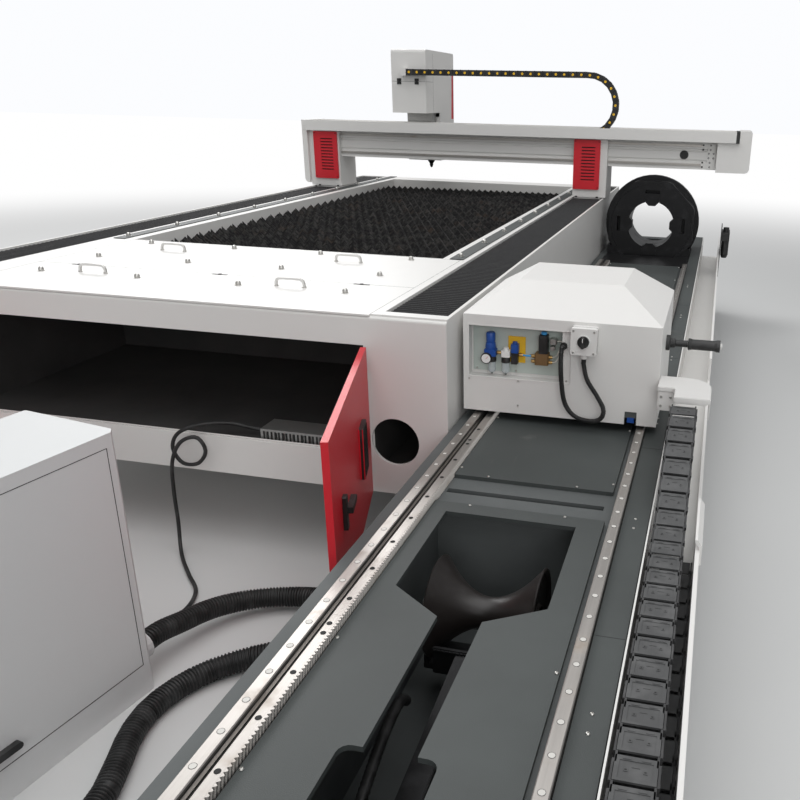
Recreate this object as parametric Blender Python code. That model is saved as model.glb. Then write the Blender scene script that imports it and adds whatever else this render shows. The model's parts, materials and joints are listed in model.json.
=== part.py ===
# Fibre laser cutting machine for sheet and tube: a sheet bed with a gantry and cutting head,
# a tube bed with two chucks beside it, and a control cabinet joined to them by hoses.
# Metres. X runs across the machine from the left tube rail, Y along it away from the
# loading end, Z up from the floor. The last step puts the origin under the box's centre.
import math

import bmesh
import bpy
from mathutils import Matrix, Vector

# Clearances
GAP = 0.0003
DOOR_GAP = 0.0008

# Tube bed
RAIL_TOP = 0.600
TUBE_FRONT = -1.600
TUBE_LENGTH = 7.500
RAIL_SPACING = 0.555
RAIL_WIDTH = 0.028
RAIL_HEIGHT = 0.0315
FRAME_LEFT = -0.066
FRAME_RIGHT = 0.640
FRAME_BOTTOM = 0.130
FRAME_WALL = 0.130
FRAME_FLOOR = 0.050
RACK_LEFT = 0.031
RACK_WIDTH = 0.022
RACK_HEIGHT = 0.028
TOOTH_DEPTH = 0.005
TOOTH_PITCH = 0.125
DECK_THICKNESS = 0.0115
DECK_RIGHT = 0.525
CROSS_FRONT = 0.980
CROSS_REAR = 1.150
TUBE_FOOT_COUNT = 5
COVER_THICKNESS = 0.016
TROUGH_RIGHT = 0.771
TROUGH_WALL = 0.010
TROUGH_WALL_END = 1.080

# Support roller and its arm, under the deck opening
ROLLER_X = 0.282
ROLLER_Y = 0.720
ROLLER_Z = 0.430
ROLLER_FLANGE = 0.112
ROLLER_SADDLE = 0.052
ROLLER_WIDTH = 0.280
ARM_PIVOT_Y = 0.060
ARM_PIVOT_Z = 0.300
ARM_TUBE = 0.080
ARM_EAR_SPACING = 0.150
ARM_EAR_THICKNESS = 0.016

# Chucks
CHUCK_X = 0.282
CHUCK_Z = 0.790
HOOD_LEFT = -0.050
HOOD_WIDTH = 0.655
HOOD_FRONT = 1.600
HOOD_LENGTH = 0.570
HOOD_BOTTOM = 0.610
HOOD_EAVES = 0.945
HOOD_TOP = 1.020
HOOD_SHEET = 0.006
PANEL_HEIGHT = 0.195
REAR_ROTOR_RADIUS = 0.165
REAR_NECK_RADIUS = 0.110
REAR_BORE_RADIUS = 0.060
FRONT_CHUCK_Y = 4.980
FRONT_CHUCK_LENGTH = 0.470
FRONT_BODY_RADIUS = 0.300
FRONT_RING_RADIUS = 0.330
FRONT_ROTOR_RADIUS = 0.280
FRONT_BORE_RADIUS = 0.160
FRONT_SEAT_DEPTH = 0.300
JAW_STANDOFF = 0.004
JAW_WIDTH = 0.100
JAW_INNER = 0.130
JAW_OUTER = 0.215
JAW_DEPTH = 0.060
FOOT_PLATE_FRONT = 4.600

# Drag chain beside the tube bed
CHAIN_X = 0.652
CHAIN_WIDTH = 0.082
CHAIN_HEIGHT = 0.042
CHAIN_PITCH = 0.066
CHAIN_BEND_RADIUS = 0.060
CHAIN_BEND_Y = -0.150
CHAIN_UPPER_Z = 0.578
CHAIN_RISE = 0.150
CHAIN_FIXED_Y = 1.000
CHAIN_CARRIED_Y = 1.450
CHAIN_LEAN = 0.025

# Sheet bed
BED_RIGHT = -0.072
BED_WIDTH = 2.250
BED_FRONT = 1.490
BED_LENGTH = 4.510
BED_TOP = 0.945
FACE_BOTTOM = 0.310
LINTEL_BOTTOM = 0.840
SILL_TOP = 0.450
BAY_RIGHT = -0.360
BAY_MARGIN_LEFT = 0.288
FASCIA_THICKNESS = 0.012
LID_MARGIN_LEFT = 0.372
LID_RIGHT = -0.335
LID_THICKNESS = 0.006
LID_FRONT_DEPTH = 0.420
LID_REAR_DEPTH = 0.580
PORT_X = -0.260
PORT_Z = 0.505
PORT_RADIUS = 0.085
CHANNEL_WIDTH = 0.216
CHANNEL_INSET = 0.012
CHANNEL_FLOOR = 0.840
GUIDE_WIDTH = 0.034
GUIDE_HEIGHT = 0.030
TABLE_MARGIN_LEFT = 0.372
TABLE_MARGIN_RIGHT = 0.348
TABLE_MARGIN_REAR = 0.200
WELL_FLOOR = 0.060
SCRAP_MOUTH_MARGIN = 0.200
SCRAP_MOUTH_HEIGHT = 0.330
SLAT_TOP = 0.910
SLAT_HEIGHT = 0.100
SLAT_THICKNESS = 0.004
SLAT_PITCH = 0.110
SLAT_TEETH = 7
STRIP_WIDTH = 0.060
PLEAT_PITCH = 0.100
BELLOWS_TOP = 0.940

# Gantry
GANTRY_Y = 5.080
LEG_DEPTH = 0.280
LEG_WIDTH = 0.240
LEG_BOTTOM = 0.950
BEAM_SIZE_Y = 0.200
BEAM_BOTTOM = 1.167
BEAM_TOP = 1.350
BEAM_RIGHT = 0.692
TRAY_LEFT = -2.330
TRAY_RIGHT = 0.835
TRAY_FRONT = 5.030
TRAY_REAR = 5.310
TRAY_HEIGHT = 0.074
TRAY_SHEET = 0.006
END_BOX_RIGHT = 0.916
END_PLATE_LEFT = -2.370
VENT_SLOTS = 11

# Cutting head
HEAD_LEFT = -1.660
HEAD_WIDTH = 0.260
HEAD_CLEARANCE = 0.0657
HEAD_HEIGHT = 0.430
HEAD_FRONT = 5.100
HEAD_REAR = 5.750
SKIRT_DROP = 0.350
NOZZLE_Y = 5.560
NOZZLE_DROP = 0.415
X_CHAIN_BEND = -0.210
X_CHAIN_RADIUS = 0.195
X_CHAIN_HEIGHT = 0.040

# Doors and cabinet
DOOR_HEIGHT = 0.520
DOOR_WIDTH = 0.800
DOOR_THICKNESS = 0.020
KNUCKLE_RADIUS = 0.007
KNUCKLE_LENGTH = 0.030
DOOR_STANDOFF = 0.012
DOOR_OPEN = math.radians(106.9)
CABINET_X = -0.715
CABINET_Y = 0.745
CABINET_TURN = math.radians(-9.8)
CABINET_WIDTH = 0.600
CABINET_DEPTH = 0.330
CABINET_HEIGHT = 0.795
CABINET_BORDER = 0.038
CABINET_DOOR_BOTTOM = 0.095
CABINET_GLANDS = [
    (-0.070, 1, 0.100, 0.042),
    (-0.150, 1, 0.060, 0.014),
    (-0.268, -1, 0.100, 0.042),
]
CONDUIT_DIAMETER = 0.066
SILL_CABLE_DIAMETER = 0.014
CURLY_CORD_DIAMETER = 0.016

# Places worked out from the dimensions above
FRAME_TOP = RAIL_TOP - RAIL_HEIGHT - GAP
TROUGH_FLOOR = CHAIN_UPPER_Z - 2 * CHAIN_BEND_RADIUS - CHAIN_HEIGHT / 2
DECK_BOTTOM = FRAME_TOP + GAP
DECK_TOP = DECK_BOTTOM + DECK_THICKNESS
DECK_LEFT = RACK_LEFT + RACK_WIDTH + TOOTH_DEPTH + 0.002
TUBE_REAR = TUBE_FRONT + TUBE_LENGTH
BED_LEFT = BED_RIGHT - BED_WIDTH
BED_REAR = BED_FRONT + BED_LENGTH
BAY_LEFT = BED_LEFT + BAY_MARGIN_LEFT
LID_LEFT = BED_LEFT + LID_MARGIN_LEFT
LID_SEAM = BED_FRONT + LID_FRONT_DEPTH
LID_REAR = LID_SEAM + LID_REAR_DEPTH
TABLE_LEFT = BED_LEFT + TABLE_MARGIN_LEFT
TABLE_RIGHT = BED_RIGHT - TABLE_MARGIN_RIGHT
TABLE_REAR = BED_REAR - TABLE_MARGIN_REAR
RIGHT_CHANNEL = (BED_RIGHT - CHANNEL_INSET - CHANNEL_WIDTH, BED_RIGHT - CHANNEL_INSET)
LEFT_CHANNEL = (BED_LEFT + CHANNEL_INSET, BED_LEFT + CHANNEL_INSET + CHANNEL_WIDTH)
LID_BOTTOM = BED_TOP - LID_THICKNESS
BAY_FLOOR = SILL_TOP - 0.010
BODY_FRONT = BED_FRONT + FASCIA_THICKNESS + GAP
HOOD_RIGHT = HOOD_LEFT + HOOD_WIDTH
HOOD_REAR = HOOD_FRONT + HOOD_LENGTH
PANEL_TOP = HOOD_EAVES - 0.027
PANEL_BOTTOM = PANEL_TOP - PANEL_HEIGHT
HANDLE_HEIGHT = PANEL_TOP - 0.088
GLAND_HEIGHT = PANEL_TOP - 0.058
BOX_BOTTOM = PANEL_TOP - 0.071
KNOB_HEIGHT = BOX_BOTTOM + 0.046
TRAY_BOTTOM = BEAM_TOP + GAP
TRAY_TOP = TRAY_BOTTOM + TRAY_HEIGHT
HEAD_BOTTOM = TRAY_TOP + HEAD_CLEARANCE
HEAD_TOP = HEAD_BOTTOM + HEAD_HEIGHT
HEAD_SKIRT = HEAD_BOTTOM - SKIRT_DROP
NOZZLE_TIP = HEAD_BOTTOM - NOZZLE_DROP
HEAD_RIGHT = HEAD_LEFT + HEAD_WIDTH
HEAD_X = HEAD_LEFT + HEAD_WIDTH / 2
LEG_REAR = GANTRY_Y + LEG_DEPTH
BEAM_FRONT = GANTRY_Y + 0.040
BEAM_REAR = BEAM_FRONT + BEAM_SIZE_Y
CENTRE_X = (END_PLATE_LEFT + END_BOX_RIGHT) / 2
CENTRE_Y = (TUBE_FRONT + BED_REAR) / 2


def clear_scene():
    for item in list(bpy.data.objects):
        bpy.data.objects.remove(item, do_unlink=True)


def look(name, colour, roughness, metallic=0.0):
    """Make one Principled material."""
    material = bpy.data.materials.new(name)
    material.use_nodes = True
    shader = material.node_tree.nodes["Principled BSDF"]
    shader.inputs["Base Color"].default_value = (*colour, 1.0)
    shader.inputs["Roughness"].default_value = roughness
    shader.inputs["Metallic"].default_value = metallic
    return material


class Frame:
    """An empty that carries pieces, at a point given in machine coordinates."""

    def __init__(self, name, place, parent=None):
        self.place = Vector(place)
        self.empty = bpy.data.objects.new(name, None)
        bpy.context.collection.objects.link(self.empty)
        if parent:
            self.empty.parent = parent.empty
            self.empty.location = self.place - parent.place
        else:
            self.empty.location = self.place


def link(name, form, carrier, origin):
    """Link a form, modelled in machine coordinates, as an object with the given origin."""
    origin = Vector(origin)
    form.transform(Matrix.Translation(-origin))
    mesh = bpy.data.meshes.new(name)
    form.to_mesh(mesh)
    form.free()
    item = bpy.data.objects.new(name, mesh)
    bpy.context.collection.objects.link(item)
    item.parent = carrier.empty
    item.location = origin - carrier.place
    item["origin"] = tuple(origin)
    return item


def part(name, form, material, carrier, origin=None, smooth=None):
    """Make a node of the machine. Its origin is its carrier's unless one is given."""
    item = link(name, form, carrier, carrier.place if origin is None else origin)
    item.data.materials.append(material)
    if smooth:
        item.data.shade_smooth()
        item.data.set_sharp_from_angle(angle=math.radians(smooth))
    return item


def combine(item, forms, operation):
    """Join hidden forms to an item, or cut them from it, with one Boolean each."""
    for count, form in enumerate(forms):
        form.transform(Matrix.Translation(-Vector(item["origin"])))
        mesh = bpy.data.meshes.new(f"{item.name}_{operation.lower()}_{count}")
        form.to_mesh(mesh)
        form.free()
        tool = bpy.data.objects.new(mesh.name, mesh)
        bpy.context.collection.objects.link(tool)
        tool.parent = item.parent
        tool.location = item.location
        tool.hide_render = True
        tool.display_type = "WIRE"
        modifier = item.modifiers.new(mesh.name, "BOOLEAN")
        modifier.operation = operation
        modifier.solver = "EXACT"
        modifier.object = tool
    return item


def add(item, *forms):
    return combine(item, forms, "UNION")


def cut(item, *forms):
    return combine(item, forms, "DIFFERENCE")


def box(x, y, z):
    """A block from three (low, high) pairs."""
    form = bmesh.new()
    bmesh.ops.create_cube(form, size=1.0)
    size = Vector((x[1] - x[0], y[1] - y[0], z[1] - z[0]))
    middle = Vector((x[1] + x[0], y[1] + y[0], z[1] + z[0])) / 2
    form.transform(Matrix.Translation(middle) @ Matrix.Diagonal((*size, 1.0)))
    return form


def prism(outline, axis, low, high):
    """Extrude a closed outline along X, Y or Z. Its points lie in the other two axes."""
    form = bmesh.new()
    places = {
        "X": lambda a, b, c: (c, a, b), "Y": lambda a, b, c: (a, c, b), "Z": lambda a, b, c: (a, b, c)
    }
    corners = [form.verts.new(places[axis](a, b, low)) for a, b in outline]
    face = form.faces.new(corners)
    made = bmesh.ops.extrude_face_region(form, geom=[face])
    shift = Vector(places[axis](0.0, 0.0, high - low))
    moved = [item for item in made["geom"] if isinstance(item, bmesh.types.BMVert)]
    bmesh.ops.translate(form, verts=moved, vec=shift)
    bmesh.ops.recalc_face_normals(form, faces=form.faces)
    return form


def rounded(outline, radius, steps=4):
    """Round an outline's corners. Radius is one number, or one for each corner."""
    radii = radius if isinstance(radius, (list, tuple)) else [radius] * len(outline)
    points = []
    for index, corner in enumerate(outline):
        size = radii[index]
        here = Vector(corner)
        before = Vector(outline[index - 1]) - here
        after = Vector(outline[(index + 1) % len(outline)]) - here
        if size <= 0.0:
            points.append(tuple(here))
            continue
        half = before.angle(after) / 2
        reach = size / math.tan(half)
        start = here + before.normalized() * reach
        end = here + after.normalized() * reach
        centre = here + (before.normalized() + after.normalized()).normalized() * size / math.sin(half)
        first = start - centre
        turn = first.angle_signed(end - centre)
        for step in range(steps + 1):
            arm = first.copy()
            arm.rotate(Matrix.Rotation(-turn * step / steps, 2))
            points.append(tuple(centre + arm))
    return points


def rectangle(a, b):
    """Outline of a rectangle from two (low, high) pairs."""
    return [(a[0], b[0]), (a[1], b[0]), (a[1], b[1]), (a[0], b[1])]


def circle(centre, radius, steps=32, turn=0.0):
    """Outline of a circle."""
    angles = [turn + 2 * math.pi * step / steps for step in range(steps)]
    return [(centre[0] + radius * math.cos(a), centre[1] + radius * math.sin(a)) for a in angles]


def lathe(profile, axis, centre, steps=32):
    """Turn a closed profile of (radius, along) points about an axis through a point."""
    form = bmesh.new()
    rings = []
    for step in range(steps):
        angle = 2 * math.pi * step / steps
        ring = []
        for radius, along in profile:
            ring.append(form.verts.new((radius * math.cos(angle), radius * math.sin(angle), along)))
        rings.append(ring)
    for step in range(steps):
        near = rings[step]
        far = rings[(step + 1) % steps]
        for index in range(len(profile)):
            after = (index + 1) % len(profile)
            form.faces.new((near[index], far[index], far[after], near[after]))
    bmesh.ops.remove_doubles(form, verts=form.verts, dist=0.00001)
    bmesh.ops.dissolve_degenerate(form, edges=form.edges, dist=0.00001)
    bmesh.ops.recalc_face_normals(form, faces=form.faces)
    turns = {
        "X": Matrix.Rotation(math.pi / 2, 4, "Y"), "Y": Matrix.Rotation(-math.pi / 2, 4, "X"), "Z": Matrix()
    }
    form.transform(Matrix.Translation(Vector(centre)) @ turns[axis])
    return form


def rod(axis, centre, radius, low, high, steps=24):
    """A round bar along an axis; low and high are measured along it from the centre."""
    profile = circle_profile(radius, low, high)
    return lathe(profile, axis, centre, steps)


def circle_profile(radius, low, high):
    return [(0.0, low), (radius, low), (radius, high), (0.0, high)]


def ring_profile(inner, outer, low, high):
    return [(inner, low), (outer, low), (outer, high), (inner, high)]


def merged(*forms):
    """One form from several that don't touch."""
    whole = bmesh.new()
    for form in forms:
        mesh = bpy.data.meshes.new("merged")
        form.to_mesh(mesh)
        form.free()
        whole.from_mesh(mesh)
        bpy.data.meshes.remove(mesh)
    return whole


def curve_tube(name, points, diameter, material, carrier, sides=3):
    """A cord or hose as a round tube along the points, with filled ends."""
    data = bpy.data.curves.new(name, "CURVE")
    data.dimensions = "3D"
    data.bevel_depth = diameter / 2
    data.bevel_resolution = sides
    data.use_fill_caps = True
    data.resolution_u = 1
    spline = data.splines.new("POLY")
    spline.points.add(len(points) - 1)
    for slot, point in zip(spline.points, points):
        slot.co = (*(Vector(point) - carrier.place), 1.0)
    data.materials.append(material)
    item = bpy.data.objects.new(name, data)
    bpy.context.collection.objects.link(item)
    item.parent = carrier.empty
    return item


def smooth_route(stops, count):
    """Points along a smooth curve through the stops, with a straight first and last stretch."""
    ends = [Vector(stop) for stop in stops]
    stops = ends[1:-1]
    fine = []
    for index in range(len(stops) - 1):
        a, b, c, d = ends[index : index + 4]
        for step in range(20):
            t = step / 20
            fine.append(
                0.5 * (
                    2 * b + (c - a) * t + (
                        2 * a - 5 * b + 4 * c - d
                    ) * t**2 + (3 * b - a - 3 * c + d) * t**3
                )
            )
    fine.append(stops[-1])
    lengths = [0.0]
    for first, second in zip(fine, fine[1:]):
        lengths.append(lengths[-1] + (second - first).length)
    points = []
    index = 0
    for step in range(count):
        wanted = lengths[-1] * step / (count - 1)
        while index < len(fine) - 2 and lengths[index + 1] < wanted:
            index += 1
        share = (wanted - lengths[index]) / (lengths[index + 1] - lengths[index])
        points.append(fine[index].lerp(fine[index + 1], share))
    return [ends[0]] + points + [ends[-1]]


def delete_loose(form):
    loose = [edge for edge in form.edges if not edge.link_faces]
    bmesh.ops.delete(form, geom=loose, context="EDGES")
    return form


# Tube bed


def tube_bed_frame(looks, base):
    """Welded box bed: two deep side beams, floor, end walls and a cross member."""
    outer = (FRAME_LEFT, FRAME_RIGHT)
    inner = (FRAME_LEFT + FRAME_WALL, FRAME_RIGHT - FRAME_WALL)
    item = part(
        "tube_bed_frame",
        box(outer, (TUBE_FRONT, TUBE_REAR), (FRAME_BOTTOM, FRAME_TOP)),
        looks["frame"],
        base,
    )
    floor = FRAME_BOTTOM + FRAME_FLOOR
    pockets = []
    for low, high in (
        (TUBE_FRONT + 0.10, CROSS_FRONT),
        (CROSS_REAR, 2.80),
        (2.95, FOOT_PLATE_FRONT - 0.05),
        (FRONT_CHUCK_Y - 0.02, TUBE_REAR - 0.10),
    ):
        pockets.append(box(inner, (low, high), (floor, FRAME_TOP + 0.05)))
    cut(item, merged(*pockets))
    slot_middle = (CROSS_FRONT + CROSS_REAR) / 2 + 0.004
    slot = box(inner, (slot_middle - 0.012, slot_middle + 0.012), (FRAME_TOP - 0.08, FRAME_TOP + 0.05))
    cut(item, slot)
    feet = []
    for index in range(TUBE_FOOT_COUNT):
        along = TUBE_FRONT + 0.25 + index * (TUBE_LENGTH - 0.5) / (TUBE_FOOT_COUNT - 1)
        for across in (FRAME_LEFT + FRAME_WALL / 2, FRAME_RIGHT - FRAME_WALL / 2):
            foot = [(0.0, 0.0), (0.055, 0.0), (0.055, 0.015), (0.022, 0.025), (0.022, FRAME_BOTTOM + 0.01)]
            foot.append((0.0, FRAME_BOTTOM + 0.01))
            feet.append(delete_loose(lathe(foot, "Z", (across, along, 0.0), 12)))
    add(item, merged(*feet))
    arm_ear = []
    for side in (-1, 1):
        ear_x = ROLLER_X + side * ARM_EAR_SPACING / 2
        outline = rounded(
            rectangle((ARM_PIVOT_Y - 0.05, ARM_PIVOT_Y + 0.05), (floor - 0.01, ARM_PIVOT_Z + 0.05)),
            [0, 0, 0.04, 0.04],
        )
        arm_ear.append(prism(outline, "X", ear_x - ARM_EAR_THICKNESS / 2, ear_x + ARM_EAR_THICKNESS / 2))
    add(item, merged(*arm_ear))
    glands = []
    for along, height in ((1.060, 0.180), (0.840, 0.190)):
        gland = circle_profile(0.042, -0.030, 0.020)
        glands.append(delete_loose(lathe(gland, "X", (FRAME_LEFT, along, height), 16)))
    add(item, merged(*glands))
    return item


def guide_rail(name, middle, looks, base):
    """Profiled linear rail with waisted sides."""
    half = RAIL_WIDTH / 2
    waist = half - 0.004
    base_z = FRAME_TOP + GAP
    outline = [
        (-half, base_z),
        (half, base_z),
        (half, base_z + 0.010),
        (waist, base_z + 0.014),
        (waist, base_z + 0.020),
        (half, base_z + 0.024),
        (half, RAIL_TOP - 0.002),
        (half - 0.002, RAIL_TOP),
        (-half + 0.002, RAIL_TOP),
        (-half, RAIL_TOP - 0.002),
        (-half, base_z + 0.024),
        (-waist, base_z + 0.020),
        (-waist, base_z + 0.014),
        (-half, base_z + 0.010),
    ]
    outline = [(middle + x, z) for x, z in outline]
    form = prism(outline, "Y", TUBE_FRONT, FOOT_PLATE_FRONT)
    return part(name, form, looks["steel"], base, (middle, TUBE_FRONT, base_z))


def tube_rack(looks, base):
    """Rack bar with its teeth towards the deck, cut square across the bar."""
    root = RACK_LEFT + RACK_WIDTH
    outline = [(RACK_LEFT, TUBE_FRONT), (root, TUBE_FRONT)]
    count = round((FOOT_PLATE_FRONT - TUBE_FRONT) / TOOTH_PITCH)
    pitch = (FOOT_PLATE_FRONT - TUBE_FRONT) / count
    for index in range(count):
        start = TUBE_FRONT + index * pitch
        outline += [
            (root, start + 0.10 * pitch),
            (root + TOOTH_DEPTH, start + 0.35 * pitch),
            (root + TOOTH_DEPTH, start + 0.65 * pitch),
            (root, start + 0.90 * pitch),
        ]
    outline += [(root, FOOT_PLATE_FRONT), (RACK_LEFT, FOOT_PLATE_FRONT)]
    form = prism(outline, "Z", DECK_BOTTOM, DECK_BOTTOM + RACK_HEIGHT)
    return part("tube_rack", form, looks["steel"], base, (RACK_LEFT, TUBE_FRONT, DECK_BOTTOM))


def deck_front(looks, base):
    """Front deck plate with the roller's opening and the arm's slot cut through it."""
    form = box((DECK_LEFT, DECK_RIGHT), (TUBE_FRONT, CROSS_FRONT), (DECK_BOTTOM, DECK_TOP))
    item = part("deck_front", form, looks["deck"], base)
    opening = [
        (0.107, 0.926),
        (0.109, 0.560),
        (0.237, 0.470),
        (0.237, 0.083),
        (0.197, 0.083),
        (0.197, -0.110),
        (0.375, -0.110),
        (0.375, 0.083),
        (0.335, 0.083),
        (0.335, 0.473),
        (0.460, 0.553),
        (0.457, 0.926),
    ]
    radii = [0.0, 0.0, 0.0, 0.0, 0.022, 0.022, 0.022, 0.022, 0.0, 0.0, 0.0, 0.0]
    outline = rounded(list(reversed(opening)), list(reversed(radii)))
    return cut(item, prism(outline, "Z", DECK_BOTTOM - 0.02, DECK_TOP + 0.02))


def deck_rear(looks, base):
    form = box((DECK_LEFT, DECK_RIGHT), (CROSS_REAR, FOOT_PLATE_FRONT - GAP), (DECK_BOTTOM, DECK_TOP))
    return part("deck_rear", form, looks["deck"], base)


def cover_plate(looks, base):
    """Folded cover beside the right rail, with a lip down its outer edge."""
    left = RAIL_SPACING + RAIL_WIDTH / 2 + 0.002
    right = FRAME_RIGHT - 0.003
    sheet = 0.004
    top = DECK_BOTTOM + COVER_THICKNESS
    outline = [
        (left, DECK_BOTTOM),
        (left + 0.018, DECK_BOTTOM),
        (left + 0.018, top - sheet),
        (right - 0.012, top - sheet),
        (right - 0.012, DECK_BOTTOM),
        (right, DECK_BOTTOM),
        (right, top),
        (left, top),
    ]
    form = prism(outline, "Y", TUBE_FRONT, TUBE_REAR)
    return part("cover_plate", form, looks["deck"], base)


def cable_trough(looks, base):
    """Open trough for the drag chain. Its outer wall ends at the chain's fixed end."""
    left = FRAME_RIGHT + GAP
    floor = TROUGH_FLOOR - 0.006
    outline = [
        (left, floor),
        (TROUGH_RIGHT, floor),
        (TROUGH_RIGHT, RAIL_TOP),
        (TROUGH_RIGHT - TROUGH_WALL, RAIL_TOP),
        (TROUGH_RIGHT - TROUGH_WALL, TROUGH_FLOOR - GAP),
        (left + 0.004, TROUGH_FLOOR - GAP),
        (left + 0.004, RAIL_TOP - 0.004),
        (left, RAIL_TOP - 0.004),
    ]
    item = part("cable_trough", prism(outline, "Y", TUBE_FRONT, TUBE_REAR), looks["white"], base)
    low = TROUGH_RIGHT - TROUGH_WALL - 0.001
    relief = box((low, TROUGH_RIGHT + 0.01), (TROUGH_WALL_END, HOOD_REAR + 0.30), (0.500, RAIL_TOP + 0.05))
    cut(item, relief)
    cap = [
        (TROUGH_RIGHT - 0.001, 0.560),
        (TROUGH_RIGHT + 0.006, 0.560),
        (TROUGH_RIGHT + 0.006, 0.612),
        (TROUGH_RIGHT - 0.006, 0.628),
        (TROUGH_RIGHT - 0.012, 0.628),
        (TROUGH_RIGHT - 0.012, 0.622),
        (TROUGH_RIGHT - 0.001, 0.608),
    ]
    return add(item, prism(cap, "Y", CHAIN_FIXED_Y - 0.15, CHAIN_FIXED_Y + 0.08))


def ribbed_band(path, height, pitch):
    """Outline of a chain of links along a path of (a, b) points: straight inside, notched outside."""
    lengths = [0.0]
    for first, second in zip(path, path[1:]):
        lengths.append(lengths[-1] + (Vector(second) - Vector(first)).length)

    def at(distance):
        index = 0
        while index < len(path) - 2 and lengths[index + 1] < distance:
            index += 1
        share = (distance - lengths[index]) / (lengths[index + 1] - lengths[index])
        here = Vector(path[index]).lerp(Vector(path[index + 1]), share)
        along = (Vector(path[index + 1]) - Vector(path[index])).normalized()
        return here, Vector((-along.y, along.x))

    count = round(lengths[-1] / pitch)
    step = lengths[-1] / count
    notch = 0.12 * step
    outside = []
    inside = []
    for index in range(count):
        for share, depth in ((0.0, 0.006), (notch / step, 0.0), (1.0 - notch / step, 0.0)):
            here, across = at((index + share) * step)
            outside.append(tuple(here + across * (height / 2 - depth)))
        here, across = at((index + 0.5) * step)
        inside.append(tuple(here - across * height / 2))
    here, across = at(lengths[-1])
    outside.append(tuple(here + across * (height / 2 - 0.006)))
    start, start_across = at(0.0)
    inside.insert(0, tuple(start - start_across * height / 2))
    inside.append(tuple(here - across * height / 2))
    return outside + list(reversed(inside))


def tube_chain(looks, base):
    """Drag chain from its fixed end, round its bend, up to the rear chuck's bracket."""
    lower = CHAIN_UPPER_Z - 2 * CHAIN_BEND_RADIUS
    path = [(CHAIN_FIXED_Y, lower), (CHAIN_BEND_Y, lower)]
    for step in range(1, 12):
        angle = -math.pi / 2 - math.pi * step / 12
        centre = CHAIN_UPPER_Z - CHAIN_BEND_RADIUS
        path.append(
            (
                CHAIN_BEND_Y + CHAIN_BEND_RADIUS * math.cos(angle),
                centre + CHAIN_BEND_RADIUS * math.sin(angle),
            )
        )
    path.append((CHAIN_BEND_Y, CHAIN_UPPER_Z))
    rise_start = CHAIN_CARRIED_Y - 0.60
    path.append((rise_start, CHAIN_UPPER_Z))
    for step in range(1, 13):
        share = step / 12
        climb = share * share * (3 - 2 * share)
        path.append(
            (rise_start + share * (CHAIN_CARRIED_Y - rise_start), CHAIN_UPPER_Z + CHAIN_RISE * climb)
        )
    outline = ribbed_band(path, CHAIN_HEIGHT, CHAIN_PITCH)
    form = prism(outline, "X", CHAIN_X, CHAIN_X + CHAIN_WIDTH)
    for corner in form.verts:
        fall = min(1.0, max(0.0, (CHAIN_UPPER_Z - corner.co.z) / (2 * CHAIN_BEND_RADIUS)))
        corner.co.x += CHAIN_LEAN * fall
    return part("tube_chain", form, looks["chain"], base)


def lift_arm(looks, arm):
    """Square tube arm that swings up and carries the roller between two side brackets."""
    rise = ROLLER_Z - ROLLER_FLANGE - 0.075 - ARM_PIVOT_Z
    reach = ROLLER_Y - ARM_PIVOT_Y
    half = ARM_TUBE / 2
    side = [
        (ARM_PIVOT_Y - half, ARM_PIVOT_Z - half),
        (ARM_PIVOT_Y + reach + 0.10, ARM_PIVOT_Z + rise - half + 0.02),
        (ARM_PIVOT_Y + reach + 0.10, ARM_PIVOT_Z + rise + half),
        (ARM_PIVOT_Y + reach - 0.16, ARM_PIVOT_Z + rise + half),
        (ARM_PIVOT_Y - half, ARM_PIVOT_Z + half),
    ]
    item = part("lift_arm", prism(side, "X", ROLLER_X - half, ROLLER_X + half), looks["black_steel"], arm)
    forms = []
    plate_z = ARM_PIVOT_Z + rise + half
    outer = ROLLER_WIDTH / 2 + 0.012
    forms.append(
        box(
            (ROLLER_X - outer, ROLLER_X + outer),
            (ROLLER_Y - 0.05, ROLLER_Y + 0.05),
            (plate_z - 0.01, plate_z + 0.010),
        )
    )
    add(item, *forms)
    ears = []
    for side_sign in (-1, 1):
        near = ROLLER_X + side_sign * (ROLLER_WIDTH / 2 + 0.002)
        far = ROLLER_X + side_sign * outer
        low, high = sorted((near, far))
        ear = rounded(
            [
                (ROLLER_Y - 0.05, plate_z),
                (ROLLER_Y + 0.05, plate_z),
                (ROLLER_Y + 0.03, ROLLER_Z + 0.03),
                (ROLLER_Y - 0.03, ROLLER_Z + 0.03),
            ],
            [0, 0, 0.02, 0.02],
        )
        ears.append(prism(ear, "X", low, high))
    add(item, merged(*ears))
    reach_out = outer + 0.008
    axle = delete_loose(rod("X", (ROLLER_X, ROLLER_Y, ROLLER_Z), 0.012, -reach_out, reach_out, 16))
    add(item, axle)
    pin_reach = ARM_EAR_SPACING / 2 - ARM_EAR_THICKNESS / 2 - GAP
    pin = delete_loose(rod("X", (ROLLER_X, ARM_PIVOT_Y, ARM_PIVOT_Z), 0.014, -pin_reach, pin_reach, 16))
    add(item, pin)
    return item


def roller(looks, spin):
    """Hourglass support roller, turned about its axle."""
    half = ROLLER_WIDTH / 2
    profile = [(0.0125, -half), (ROLLER_FLANGE, -half)]
    steps = 12
    for step in range(steps + 1):
        share = 2 * step / steps - 1
        saddle = ROLLER_SADDLE + (ROLLER_FLANGE - ROLLER_SADDLE) * abs(share) ** 1.8
        profile.append((saddle, share * (half - 0.008)))
    profile += [(ROLLER_FLANGE, half), (0.0125, half)]
    form = lathe(profile, "X", (ROLLER_X, ROLLER_Y, ROLLER_Z), 28)
    return part("roller", form, looks["roller"], spin, smooth=40)


# Rear chuck


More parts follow.
